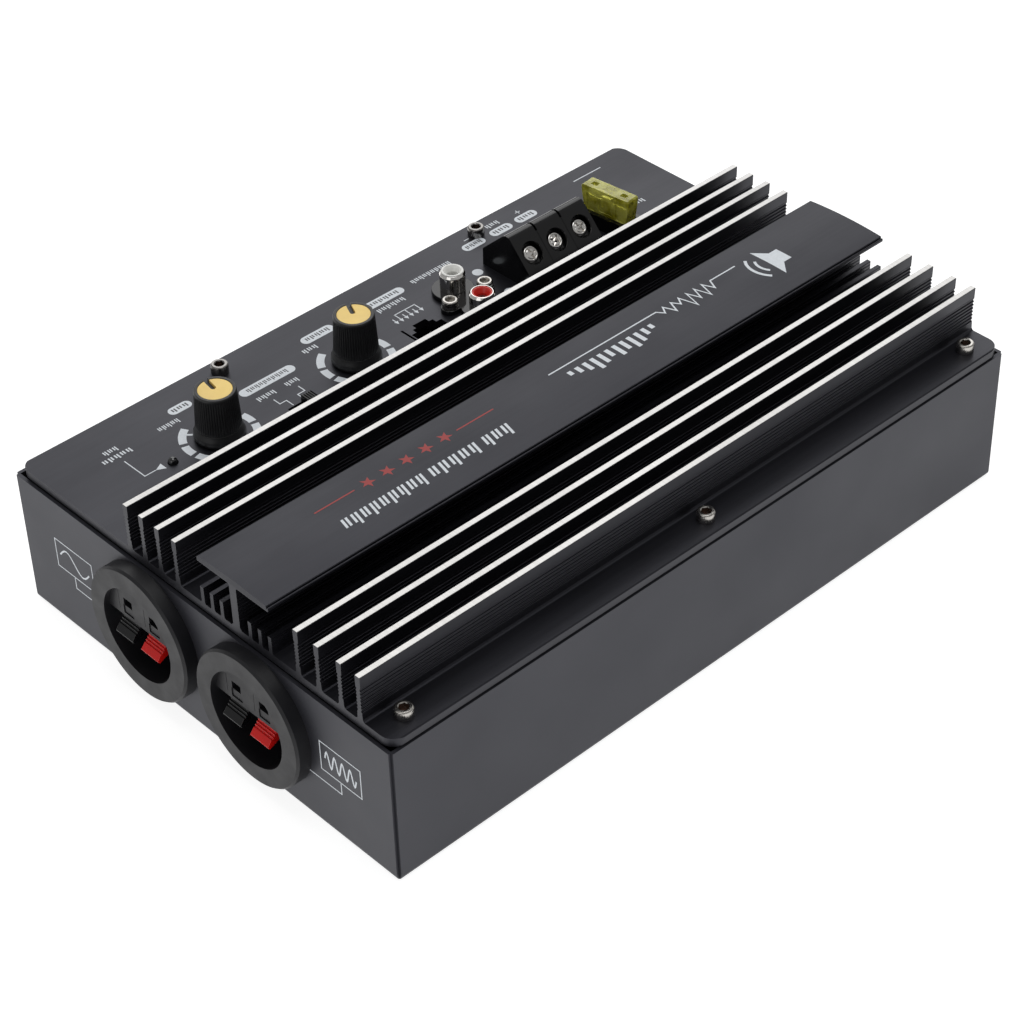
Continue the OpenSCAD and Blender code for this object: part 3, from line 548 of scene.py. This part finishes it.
def stroke(points, width):
    """Line of a given width through points, with mitred corners, as one outline."""
    left, right = [], []
    pts = [Vector(p) for p in points]
    for i, p in enumerate(pts):
        before = (p - pts[i - 1]).normalized() if i else None
        after = (pts[i + 1] - p).normalized() if i + 1 < len(pts) else None
        d1 = before or after
        d2 = after or before
        tangent = (d1 + d2).normalized()
        normal = Vector((-tangent.y, tangent.x))
        reach = width / 2 / max(0.35, normal.dot(Vector((-d1.y, d1.x))))
        left.append(tuple(p + normal * reach))
        right.append(tuple(p - normal * reach))
    return left + right[::-1]


INK_SUNK = 0.02


def printed(name, surface, outlines, look, height=0.02, follow=0.0):
    """Thin printed shapes on a surface. follow is the spacing of cuts that let them bend across Y."""
    bm = bmesh.new()
    for outline in outlines:
        bm.faces.new([bm.verts.new((u, v, 0)) for u, v in outline])
    if follow:
        low = min(v.co.y for v in bm.verts)
        high = max(v.co.y for v in bm.verts)
        for k in range(1, int((high - low) / follow) + 1):
            geom = bm.verts[:] + bm.edges[:] + bm.faces[:]
            cut = (0, low + k * follow, 0)
            bmesh.ops.bisect_plane(bm, geom=geom, plane_co=cut, plane_no=(0, 1, 0), dist=1e-4)
    bmesh.ops.triangulate(bm, faces=bm.faces)
    flat = bmesh.ops.extrude_face_region(bm, geom=bm.faces[:])
    raised = {v for v in flat["geom"] if isinstance(v, bmesh.types.BMVert)}
    out = Vector(surface(1, 1)) * 0
    out[0 if surface is on_end_wall else 2] = 1
    for v in bm.verts:
        v.co = Vector(surface(v.co.x, v.co.y)) + out * (height if v in raised else -INK_SUNK)
    obj = from_bmesh(name, bm)
    return piece(obj, ROOT, "black_anodise" if surface is not on_end_wall else "case_paint", LOOKS[look])


def greek(x, y, width, height, letters, lean=0.0):
    """A row of plain upright bars, two to a letter, centred on a point, in place of a word."""
    pitch = width / letters
    out = []
    for k in range(2 * letters):
        u = x - width / 2 + pitch * (k // 2 + (0.30 if k % 2 == 0 else 0.72))
        half = pitch * 0.12
        low = y - height / 2
        high = low + height * (1.0, 0.74, 0.74, 0.74, 1.0, 0.74, 0.74)[k % 7]
        out.append([(u - half, low), (u + half, low), (u + half + lean * (high - low), high),
                    (u - half + lean * (high - low), high)])
    return out


LEVEL = middle("level_shaft")
LPF = middle("lpf_shaft")
DIAL_IN, DIAL_OUT = 9.9, 12.4
LINE = 0.35


def dial(c):
    """Nine blocks of a ring: one at the top and four down each side, the last of them longer."""
    blocks = [(-60, -22.6), (-15.6, 8), (14.6, 38.2), (44.8, 68.4)]
    blocks += [(180 - b, 180 - a) for a, b in blocks] + [(75, 105)]
    return [sector(c, DIAL_IN, DIAL_OUT, a, b) for a, b in blocks]


def control_legends():
    switch = middle("switch_body")
    rca = middle("rca_base")
    led = middle("power_led")
    block_mid = middle("terminal_block")
    pills = [
        (block_mid.x - 17.0, block_mid.x - 8.1, -73.9, -70.2),
        (block_mid.x - 6.0, block_mid.x + 3.0, -73.9, -70.2),
        (block_mid.x + 6.0, block_mid.x + 15.1, -73.9, -70.2),
        (-15.4, 1.0, -71.4, -67.8),
        (LEVEL.x - 6.3, LEVEL.x + 6.2, -71.6, -67.8),
        (LPF.x - 4.0, LPF.x + 4.2, -71.9, -68.3),
        (35.6, 56.5, -63.9, -60.1),
    ]
    shapes = [pill(*p) for p in pills]
    shapes += dial(LEVEL) + dial(LPF)
    shapes += [disc(-38.1, rca.y - 9.4, 1.8), disc(-38.1, rca.y + 5.5, 1.8)]
    x, y = led.x, led.y
    shapes += [[(x + 3.0, y + 0.9), (x + 3.0, y - 2.1), (x + 5.8, y - 0.6)],
               stroke([(x + 5.8, y - 0.6), (x + 9.8, y - 0.6), (x + 9.8, y - 10.4)], LINE)]
    x = switch.x
    shapes += [stroke([(x - 5.0, -53.3), (x - 5.0, -50.2), (x - 2.2, -50.2), (x - 2.2, -47.0)], LINE),
               stroke([(x + 4.6, -53.3), (x + 4.6, -50.3), (x + 2.1, -50.3), (x + 2.1, -47.0)], LINE)]
    shapes += [stroke([(-109.3, -75.9), (-96.8, -75.9)], LINE * 1.2)]
    shapes += [stroke([(-72.0, -75.8), (-70.0, -75.8)], LINE), stroke([(-71.0, -76.8), (-71.0, -74.8)], LINE),
               stroke([(-49.2, -75.7), (-47.2, -75.7)], LINE)]
    shapes += remote_symbol()
    printed("legend_white", on_panel, shapes, "ink_white")
    marks = []
    for (x0, x1, y0, y1), letters in zip(pills, (3, 3, 4, 6, 5, 3, 10)):
        marks += greek((x0 + x1) / 2, (y0 + y1) / 2, (x1 - x0) * 0.76, (y1 - y0) * 0.52, letters)
    printed("legend_dark", on_panel, marks, "ink_dark", height=0.03)
    tick = [stroke([(LPF.x + 5.6, LPF.y - 5.9), (LPF.x + 7.6, LPF.y - 7.8)], 0.8)]
    printed("dial_tick", on_panel, tick, "ink_white", height=0.03)


def remote_symbol():
    """Six arrow heads in a row with their leads, a generic wiring symbol."""
    shapes = []
    y = -56.75
    for k in range(6):
        x = -12.0 + k * 2.05
        shapes.append([(x - 0.75, y - 0.75), (x + 0.75, y - 0.75), (x, y + 0.85)])
        shapes.append(stroke([(x, y - 0.7), (x, y - (2.3 if k % 2 else 3.7))], LINE))
    shapes.append(stroke([(-12.2, y - 3.7), (-3.6, y - 3.7)], LINE))
    return shapes


def small_words():
    """Rows of short strokes where small legends stand on the real object."""
    rows = [(41.1, -56.3, 5.2, 3), (51.0, -56.3, 7.1, 4), (26.4, -65.3, 5.8, 3), (80.7, -65.6, 7.9, 5),
            (100.6, -64.3, 10.7, 5), (100.6, -67.7, 5.2, 3), (-6.75, -65.3, 11.3, 6),
            (-27.6, -69.9, 16.7, 10), (-60.1, -76.2, 5.8, 3), (-103.6, -51.8, 4.4, 2)]
    shapes = []
    for x, y, width, letters in rows:
        shapes += greek(x, y, width, 2.2, letters)
    printed("legend_small", on_panel, shapes, "ink_white")


def label_graphics():
    """A loudspeaker symbol, a wave line, level bars, and a red line of stars."""
    cx, cy = -90.0, LABEL_Y - 0.2
    horn = [(cx - 4.6, cy - 3.2), (cx - 1.2, cy - 3.2), (cx + 2.6, cy - 7.6), (cx + 2.6, cy + 7.6),
            (cx - 1.2, cy + 3.2), (cx - 4.6, cy + 3.2)]
    shapes = [horn, sector((cx + 1.0, cy), 4.8, 5.7, -38, 38), sector((cx + 1.0, cy), 7.6, 8.6, -44, 44, 16)]
    base = LABEL_Y - 6.15
    start, pitch = -67.9, 3.36
    wave = [(-78.9, base), (start, base)]
    for k, swing in enumerate((3.7, 5.4, 4.4, 6.3, 2.4, 3.9, 2.3)):
        x = start + k * pitch
        wave += [(x + pitch * 0.5, base + swing), (x + pitch, base - (0.4 if k < 6 else 0))]
    wave.append((0.3, base))
    shapes.append(stroke(wave, 0.5))
    foot = base + 3.0
    for k, height in enumerate((2.2, 3.4, 5.0, 6.0, 4.6, 5.6, 3.8, 5.0, 6.0, 4.2, 3.0, 2.0)):
        x = -38.9 + k * 3.03
        shapes.append([(x, foot), (x + 1.5, foot), (x + 1.5, foot + height), (x, foot + height)])
    for x, width, letters in ((29.6, 11.0, 3), (46.0, 18.8, 5), (72.0, 30.6, 9)):
        shapes += greek(x, LABEL_Y + 4.3, width, 5.0, letters, lean=0.22)
    printed("label_white", on_label, shapes, "ink_white", follow=1.5)
    line_y = LABEL_Y - 5.65
    red = [star(41.5 + 7.2 * k, line_y, 2.5) for k in range(5)]
    red += [stroke([(22.7, line_y), (37.0, line_y)], 0.5), stroke([(75.2, line_y), (89.7, line_y)], 0.5)]
    printed("label_red", on_label, red, "ink_red", follow=1.5)


def frame_line(u0, u1, v0, v1):
    """Four strokes of a box outline."""
    e = LINE / 2
    return [stroke([(u0 - e, v0), (u1 + e, v0)], LINE), stroke([(u0 - e, v1), (u1 + e, v1)], LINE),
            stroke([(u0, v0 + e), (u0, v1 - e)], LINE), stroke([(u1, v0 + e), (u1, v1 - e)], LINE)]


def wave_icon(u0, u1, v, swing, cycles):
    n = 12 * cycles
    turn = 2 * math.pi * cycles / n
    return stroke([(u0 + (u1 - u0) * k / n, v + swing * math.sin(turn * k)) for k in range(n + 1)], 0.55)


def output_legends():
    """Boxes with a slow wave and a fast wave, each with its leader to a speaker cup."""
    v0, v1 = 22.1, 32.4
    low = v0 - 4.3
    shapes = frame_line(-66.5, -48.7, v0, v1) + frame_line(53.0, 69.6, v0, v1)
    shapes += [stroke([(-58.5, v0), (-58.5, low), (-49.6, low)], LINE),
               stroke([(61.0, v0), (61.0, low), (47.1, low)], LINE)]
    mid = (v0 + v1) / 2
    shapes += [wave_icon(-64.6, -50.6, mid, 2.9, 1), wave_icon(54.9, 67.7, mid, 2.6, 4)]
    printed("output_legends", on_end_wall, shapes, "ink_white")


# ---------------------------------------------------------------- controls

def knob_ripple(flutes, depth, low, high):
    """Flutes round a barrel, fading out at both ends."""
    def ripple(angle, z):
        fade = min(1.0, max(0.0, (z - low) / 0.6)) * min(1.0, max(0.0, (high - z) / 0.5))
        return -depth * fade * (0.5 + 0.5 * math.cos(flutes * angle)) ** 2
    return ripple


def make_knob(prefix, body, pointer):
    """Fluted knob with a flared skirt and a yellow cap; the pointer is a notch at an angle in degrees."""
    low, high = corners(prefix + "_knob")
    c = (low + high) / 2
    r = (high.x - low.x) / 2
    h = high.z - low.z
    profile = rounded([(3.0, 3.9), (r - 1.5, 3.5), (r - 1.5, 0.0, 0.1), (r - 0.25, 0.0, 0.2), (r, 0.9, 0.4),
                       (r - 0.2, 2.0, 0.4), (r - 0.75, 3.2, 0.5), (r - 0.9, 3.8, 0.2)])
    steps = 26
    profile += [(r - 0.9 - 0.62 * k / steps, 4.0 + (h - 4.6) * k / steps) for k in range(steps + 1)]
    profile += rounded([(r - 1.56, h - 0.45), (r - 1.72, h, 0.25), (5.2, h, 0.12), (5.2, h - 1.2),
                        (0.01, h - 1.2), (0.01, h - 2.1), (3.0, h - 2.1)])
    knob = lathe(prefix + "_knob_fluted", profile, 432, knob_ripple(54, 0.20, 4.1, h - 0.9), closed=True)
    turn = Matrix.Rotation(math.radians(pointer), 4, "Z")
    notch = block("notch", (4.4, -0.85, h - 1.15), (r + 1, 0.85, h + 1))
    carve(knob, notch)
    place(soften(knob, angle=40), turn, (c.x, c.y, low.z))
    piece(knob, body, "knob_black", LOOKS["knob"], prefix + "_knob")
    cap_low, cap_high = corners(prefix + "_knob_cap")
    t = cap_high.z - cap_low.z
    dished = rounded([(0.001, 0.0), (5.19, 0.0), (5.19, t, 0.15), (4.7, t - 0.03), (4.2, t - 0.10),
                      (2.0, t - 0.06), (0.001, t - 0.04)])
    cap = lathe(prefix + "_cap_dished", dished, 96)
    slot = prism("slot", rounded([(0.2, -0.85, 0.8), (7, -0.85), (7, 0.85), (0.2, 0.85, 0.8)], 6), -1, 3)
    carve(cap, slot)
    place(soften(cap, 0.05, 1), turn, (c.x, c.y, cap_low.z))
    piece(cap, body, "knob_yellow", LOOKS["yellow"], prefix + "_knob_cap")


def make_slider():
    """Ribbed thumb piece of the slide switch."""
    low, high = corners("switch_slider")
    c = (low + high) / 2
    w, d = high.x - low.x, high.y - low.y
    top = high.z
    outline = [(low.x, low.z), (high.x, low.z)]
    outline += [(high.x, top - 0.5), (high.x - 0.3, top)]
    ribs = 4
    pitch = (w - 0.6) / ribs
    for k in range(ribs):
        x = high.x - 0.3 - k * pitch
        outline += [(x - pitch * 0.35, top), (x - pitch * 0.5, top - 0.75)]
        outline += [(x - pitch * 0.85, top - 0.75), (x - pitch, top)]
    outline += [(low.x, top - 0.5)]
    slider = prism("switch_slider_ribbed", outline, c.y - d / 2, c.y + d / 2, "Y")
    soften(slider, 0.06, 2)
    piece(slider, "switch_slider_body", "slider_black", LOOKS["black"], "switch_slider")


def make_led():
    low, high = corners("power_led")
    c = (low + high) / 2
    h = high.z - low.z
    r = 1.5
    angles = [math.radians(a) for a in range(0, 91, 9)]
    dome = [(r * math.cos(a) + 0.0005, h - r + r * math.sin(a)) for a in angles]
    flange = [(0.001, 0), (1.85, 0), (1.9, 0.05), (1.9, 0.95), (1.85, 1.0), (r, 1.0)]
    lens = lathe("led_lens", flange + dome, 48)
    place(soften(lens), None, (c.x, c.y, low.z))
    piece(lens, ROOT, "led_dark", LOOKS["led"], "power_led")


# ---------------------------------------------------------------- screws

def cap_head(name, r, h, base=0.0, af=SOCKET_AF, depth=1.9):
    """Socket head: knurled side, bright rounded rim, hexagon socket."""
    knurls = 40
    knurl_depth = 0.035
    top = base + h
    profile = rounded([(0.001, base), (r - 0.1, base), (r, base + 0.15), (r, top - 0.75),
                       (r - 0.08, top - 0.6), (r - 0.08, top - 0.3, 0.25), (r - 0.4, top, 0.2), (0.001, top)])
    low, high = base + 0.2, top - 0.7

    def ripple(angle, z):
        knurled = low < z + 0.06 and z < high + 0.06
        return -knurl_depth * (0.5 + 0.5 * math.cos(knurls * angle)) if knurled else 0.0

    head = lathe(name, profile, knurls * 6, ripple)
    socket = prism("socket", disc(0, 0, af / math.sqrt(3), 6), top - depth, top + 1)
    bite = lathe("bite", [(0.001, top - 0.28), (af / 2 - 0.02, top - 0.28), (af / 2 + 0.45, top + 0.1),
                          (0.001, top + 0.1)], 48)
    return carve(head, socket, bite)


def shank(name, r, low, high):
    return lathe(name, [(0.001, low), (r - 0.2, low), (r, low + 0.2), (r, high), (0.001, high)], 32)


def cover_screws(node, places, material):
    """Socket cap screws seated on the cover, each turned its own way."""
    low, high = corners(node)
    y = (low.y + high.y) / 2
    heads, floors = [], []
    for k, x in enumerate(places):
        turn = Matrix.Rotation(math.radians(17 * k + 8), 4, "Z")
        head = cap_head("head", HEAD_R, HEAD_H)
        screw = join("screw", [head, shank("shank", 1.5, -9, 0.02)])
        heads.append(place(screw, turn, (x, y, PANEL_Z)))
        floor = lathe("floor", [(0.001, 1.25), (1.45, 1.25), (1.45, 1.4), (0.001, 1.4)], 24)
        floors.append(place(floor, None, (x, y, PANEL_Z)))
    piece(soften(join(node + "_fine", heads), angle=30), ROOT, "screw_steel", LOOKS[material], node)
    piece(join(node + "_socket_floors", floors), ROOT, "screw_steel", LOOKS["rust"])


def make_cover_screws():
    low, high = corners("cover_cap_screws")
    cover_screws("cover_cap_screws", (low.x + HEAD_R, high.x - HEAD_R), "dark_screw")
    low, high = corners("cover_edge_screws")
    middle_x = (low.x + high.x) / 2 + 0.15
    cover_screws("cover_edge_screws", (low.x + HEAD_R, middle_x, high.x - HEAD_R), "screw")


# ---------------------------------------------------------------- RCA socket

def insert_profile(foot, top, lip_r, mouth_r, bore=1.75):
    """Half section of a coloured insert: an outer wall, a lip, and a mouth that narrows to the bore."""
    return rounded([(bore, foot), (3.2, foot), (3.2, top - 0.4), (lip_r, top - 0.3, 0.05), (lip_r, top, 0.2),
                    (mouth_r + 0.25, top, 0.15), (mouth_r, top - 0.3, 0.2), (2.35, top - 0.55, 0.3),
                    (bore, top - 1.7, 0.3)])


def make_rca():
    """Stereo socket: a glossy base, two plated shells with shouldered rims, a white and a red insert."""
    cx, cy = middle("rca_base").x, middle("rca_base").y
    shells_low, shells_high = corners("rca_shells")
    white_top = corners("rca_white_insert")[1].z - PANEL_Z
    red_top = corners("rca_red_insert")[1].z - PANEL_Z
    shell_r = (shells_high.x - shells_low.x) / 2
    step = (shells_high.y - shells_low.y) / 2 - shell_r
    t = corners("rca_base")[1].z - PANEL_Z
    base = cad_copy("rca_base", "rca_base_soft", 0.25, 3)
    piece(base, ROOT, "rca_black", LOOKS["gloss_black"], "rca_base")
    screws_low, screws_high = corners("rca_screws")
    heads = []
    for x in (screws_low.x + 2.6, screws_high.x - 2.6):
        head = cap_head("head", 2.6, 2.7, t, af=2.7, depth=1.5)
        screw = join("screw", [head, shank("shank", 1.25, -5, t + 0.02)])
        heads.append(place(screw, None, (x, cy, PANEL_Z)))
    screws = soften(join("rca_screws_knurled", heads), angle=30)
    piece(screws, ROOT, "screw_steel", LOOKS["screw"], "rca_screws")
    shells = []
    for s, rim in ((-1, white_top - 0.3), (1, red_top + 0.2)):
        ring = rounded([(3.25, t), (shell_r - 0.1, t), (shell_r, t + 0.5), (shell_r, rim - 0.85, 0.4),
                        (shell_r - 0.55, rim, 0.25), (3.25, rim, 0.1)], 6)
        shells.append(place(lathe("shell", ring, 96, closed=True), None, (cx, cy + s * step, PANEL_Z)))
    piece(soften(join("rca_shells_plated", shells)), ROOT, "nickel", LOOKS["nickel"], "rca_shells")
    white = lathe("rca_white_brim", insert_profile(t, white_top, 3.55, 2.6), 96, closed=True)
    place(white, None, (cx, cy - step, PANEL_Z))
    piece(soften(white), ROOT, "rca_white", LOOKS["white"], "rca_white_insert")
    red = lathe("rca_red_cone", insert_profile(t, red_top, 3.24, 2.5), 96, closed=True)
    place(red, None, (cx, cy + step, PANEL_Z))
    piece(soften(red), ROOT, "rca_red", LOOKS["red"], "rca_red_insert")


# ---------------------------------------------------------------- power terminals and fuse

SLOPE = math.radians(47)
SLOPE_Y = -44.2
SLOPE_Z = PANEL_Z + 9.86
HOLE_R = 3.7


def make_terminal_block():
    """Three snapped-together poles with rounded edges, each with a screw hole and a wire hole."""
    c = middle("terminal_block")
    pitch = middle("terminal_screw_2").x - middle("terminal_screw_1").x
    whole = cad_copy("terminal_block", "terminal_block_poles", 0.0, 2, 40)
    for side in (-1, 1):
        seam = c.x + side * pitch / 2
        thin = block("seam", (seam - 0.07, c.y - 40, PANEL_Z + 0.4), (seam + 0.07, c.y + 40, PANEL_Z + 40))
        carve(whole, thin)
    tilt = Matrix.Rotation(-SLOPE, 4, "X")
    for k in (1, 2, 3):
        bore = lathe("bore", [(0.001, -2.6), (HOLE_R, -2.6), (HOLE_R, -0.35), (HOLE_R + 0.4, 0.4),
                              (0.001, 0.4)], 64)
        carve(whole, place(bore, tilt, (middle("terminal_screw_%d" % k).x, SLOPE_Y, SLOPE_Z)))
    soften(whole, 0.2, 3, 38)
    piece(whole, ROOT, "terminal_black", LOOKS["black"], "terminal_block")


def make_terminal_screws():
    """Cross-recess pan heads with a turned rim, deep in the sloping holes."""
    tilt = Matrix.Rotation(-SLOPE, 4, "X")
    for k, turn in ((1, 24), (2, 52), (3, 8)):
        node = "terminal_screw_%d" % k
        profile = rounded([(0.001, -2.8), (2.95, -2.8, 0.1), (2.95, -1.5, 0.3), (2.5, -1.0, 0.3),
                           (2.1, -0.9, 0.1), (2.0, -1.1, 0.1), (1.75, -1.1, 0.1), (1.6, -0.9, 0.2),
                           (0.001, -0.9)])
        head = lathe("head", profile, 64)
        for side in (turn, turn + 90):
            cut = block("cut", (-1.9, -0.34, -2.1), (1.9, 0.34, 0.2))
            carve(head, place(cut, Matrix.Rotation(math.radians(side), 4, "Z")))
        cone = lathe("cone", [(0.001, -2.1), (0.55, -1.9), (1.2, -0.8), (0.001, -0.8)], 4)
        carve(head, place(cone, Matrix.Rotation(math.radians(turn), 4, "Z")))
        body = join(node + "_cross", [head, shank("shank", 1.45, -7.35, -2.78)])
        place(soften(body, 0.05, 2, 35), tilt, (middle(node).x, SLOPE_Y, SLOPE_Z))
        piece(body, "terminal_screw_%d_body" % k, "terminal_nickel", LOOKS["nickel"], node)


FUSE_TURN = math.radians(6.5)


def make_fuse():
    """Clear tinted body with its well, side recesses and probe holes, over the metal link."""
    low, high = corners("fuse_body")
    c = (low + high) / 2
    half_w = 2.55
    turn = Matrix.Rotation(FUSE_TURN, 4, "Z")
    body = cad_copy("fuse_body", "fuse_shell_clear", 0.0, 2)
    bottom, top = low.z, high.z
    cutters = [block("well", (-1.3, -1.9, bottom - 1), (1.3, 1.9, top - 2.4))]
    for s in (-1, 1):
        y = s * 5.9
        cutters.append(block("probe", (-0.9, y - 1.1, top - 1.0), (0.9, y + 1.1, top + 1)))
        for t in (-1, 1):
            face = t * half_w
            panel = block("panel", (face - 0.4, y - 1.7, bottom + 2.6), (face + 0.4, y + 1.5, top - 2.6))
            cutters.append(panel)
            cutters.append(block("window", (face - 0.3, -2.6, bottom + 3.4), (face + 0.3, 2.6, top - 3.2)))
    for cutter in cutters:
        place(cutter, turn, (c.x, c.y, 0))
    carve(body, *cutters)
    soften(body, 0.16, 3, 36)
    piece(body, "fuse", "fuse_yellow", LOOKS["fuse"], "fuse_body")
    shares = [k / 14 for k in range(15)]
    arch = [(-1.7 + 3.4 * t, bottom + 4.6 + 1.9 * math.sin(math.pi * t)) for t in shares]
    outline = arch + [(y, z - 0.7) for y, z in reversed(arch)]
    strip = place(prism("fuse_link", outline, -0.15, 0.15, "X"), turn, (c.x, c.y, 0))
    piece(soften(strip, 0.04, 1), "fuse", "tin_plate", LOOKS["tin"])


# ---------------------------------------------------------------- speaker cups

LEVER_STEP = 5.9
CUP_FACE = 2.7


def make_cup(name):
    """A cup with soft edges, and the fine moulded lines round its wire holes."""
    node = name + "_cup"
    c = middle(node)
    face = WALL_X + CUP_FACE
    cup = cad_copy(node, node + "_soft", 0.30, 3, 35)
    marks = (((-4.25, 3.2), (-4.1, 9.7), 0.16), ((-3.2, 12.0), (-0.5, 12.15), 0.16),
             ((-2.3, 2.6), (2.3, 5.75), 0.3))
    for y in (c.y - LEVER_STEP, c.y + LEVER_STEP):
        for low, high, depth in marks:
            near = (face - depth, y + low[0], c.z + low[1])
            carve(cup, block("mark", near, (face + 1, y + high[0], c.z + high[1])))
    piece(soften(cup, angle=35), ROOT, "cup_black", LOOKS["cup"], node)


def make_lever(name, colour):
    """Spring lever with its ribs and its smooth finger pad, its edges rounded."""
    node = "%s_%s_lever" % (name, colour)
    lever = cad_copy(node, node + "_soft", 0.13, 3, 30)
    piece(lever, node + "_body", "lever_" + colour, LOOKS["lever_" + colour], node)


# ---------------------------------------------------------------- camera, floor and light

AZIMUTH, ELEVATION, ROLL = 137.711, 39.164, -1.740
CAMERA_AT = (0.43760, 0.47634, 0.53555)
SENSOR = 36.0
FOCAL = 95.51


def make_camera():
    a, e, r = (math.radians(v) for v in (AZIMUTH, ELEVATION, ROLL))
    back = Vector((math.sin(a) * math.cos(e), -math.cos(a) * math.cos(e), math.sin(e)))
    right = Vector((math.cos(a), math.sin(a), 0))
    up = back.cross(right)
    across = right * math.cos(r) + up * math.sin(r)
    upward = up * math.cos(r) - right * math.sin(r)
    data = bpy.data.cameras.new("camera")
    data.sensor_width = SENSOR
    data.lens = FOCAL
    data.clip_start = 0.01
    data.clip_end = 100
    camera = bpy.data.objects.new("camera", data)
    bpy.context.scene.collection.objects.link(camera)
    turn = Matrix((across, upward, back)).transposed().to_4x4()
    camera.matrix_world = Matrix.Translation(CAMERA_AT) @ turn
    bpy.context.scene.camera = camera


def make_floor():
    bm = bmesh.new()
    bmesh.ops.create_grid(bm, x_segments=1, y_segments=1, size=6.0)
    mesh = bpy.data.meshes.new("floor")
    bm.to_mesh(mesh)
    bm.free()
    floor = link("floor", mesh)
    k = Look("floor_white", (0.42, 0.42, 0.42), 0.9, specular=0.1)
    k.mottle(3, 0.01)
    k.set("Emission Color", (1.0, 1.0, 1.0, 1.0))
    k.set("Emission Strength", 0.86)
    floor.data.materials.append(k.mat)


def area_light(name, at, toward, size, power):
    data = bpy.data.lights.new(name, "AREA")
    data.shape = "RECTANGLE"
    data.size, data.size_y = size
    data.energy = power
    lamp = bpy.data.objects.new(name, data)
    bpy.context.scene.collection.objects.link(lamp)
    lamp.location = at
    lamp.rotation_euler = (Vector(toward) - Vector(at)).to_track_quat("-Z", "Y").to_euler()


def make_light():
    world = bpy.data.worlds.new("studio")
    world.use_nodes = True
    world.node_tree.nodes["Background"].inputs["Color"].default_value = (1, 1, 1, 1)
    world.node_tree.nodes["Background"].inputs["Strength"].default_value = 0.34
    bpy.context.scene.world = world
    area_light("far_softbox", (-1.2, -1.35, 1.45), (0, 0, 0.05), (2.2, 1.6), 17)
    area_light("overhead", (-0.1, 0.0, 1.8), (0, 0, 0.05), (1.2, 0.9), 9)
    area_light("side", (1.4, 0.3, 0.7), (0, 0, 0.03), (0.9, 0.7), 1.6)
    view = bpy.context.scene.view_settings
    view.view_transform = "Standard"


# ---------------------------------------------------------------- build

make_camera()
make_floor()
make_light()
dress_cad_nodes()
control_legends()
small_words()
label_graphics()
output_legends()
make_knob("level", "level_knob_body", -113.6)
make_knob("lpf", "lpf_knob_body", -99.5)
make_slider()
make_led()
make_cover_screws()
make_rca()
make_terminal_block()
make_terminal_screws()
make_fuse()
for cup_name in ("bass", "treble"):
    make_cup(cup_name)
    for lever_colour in ("black", "red"):
        make_lever(cup_name, lever_colour)
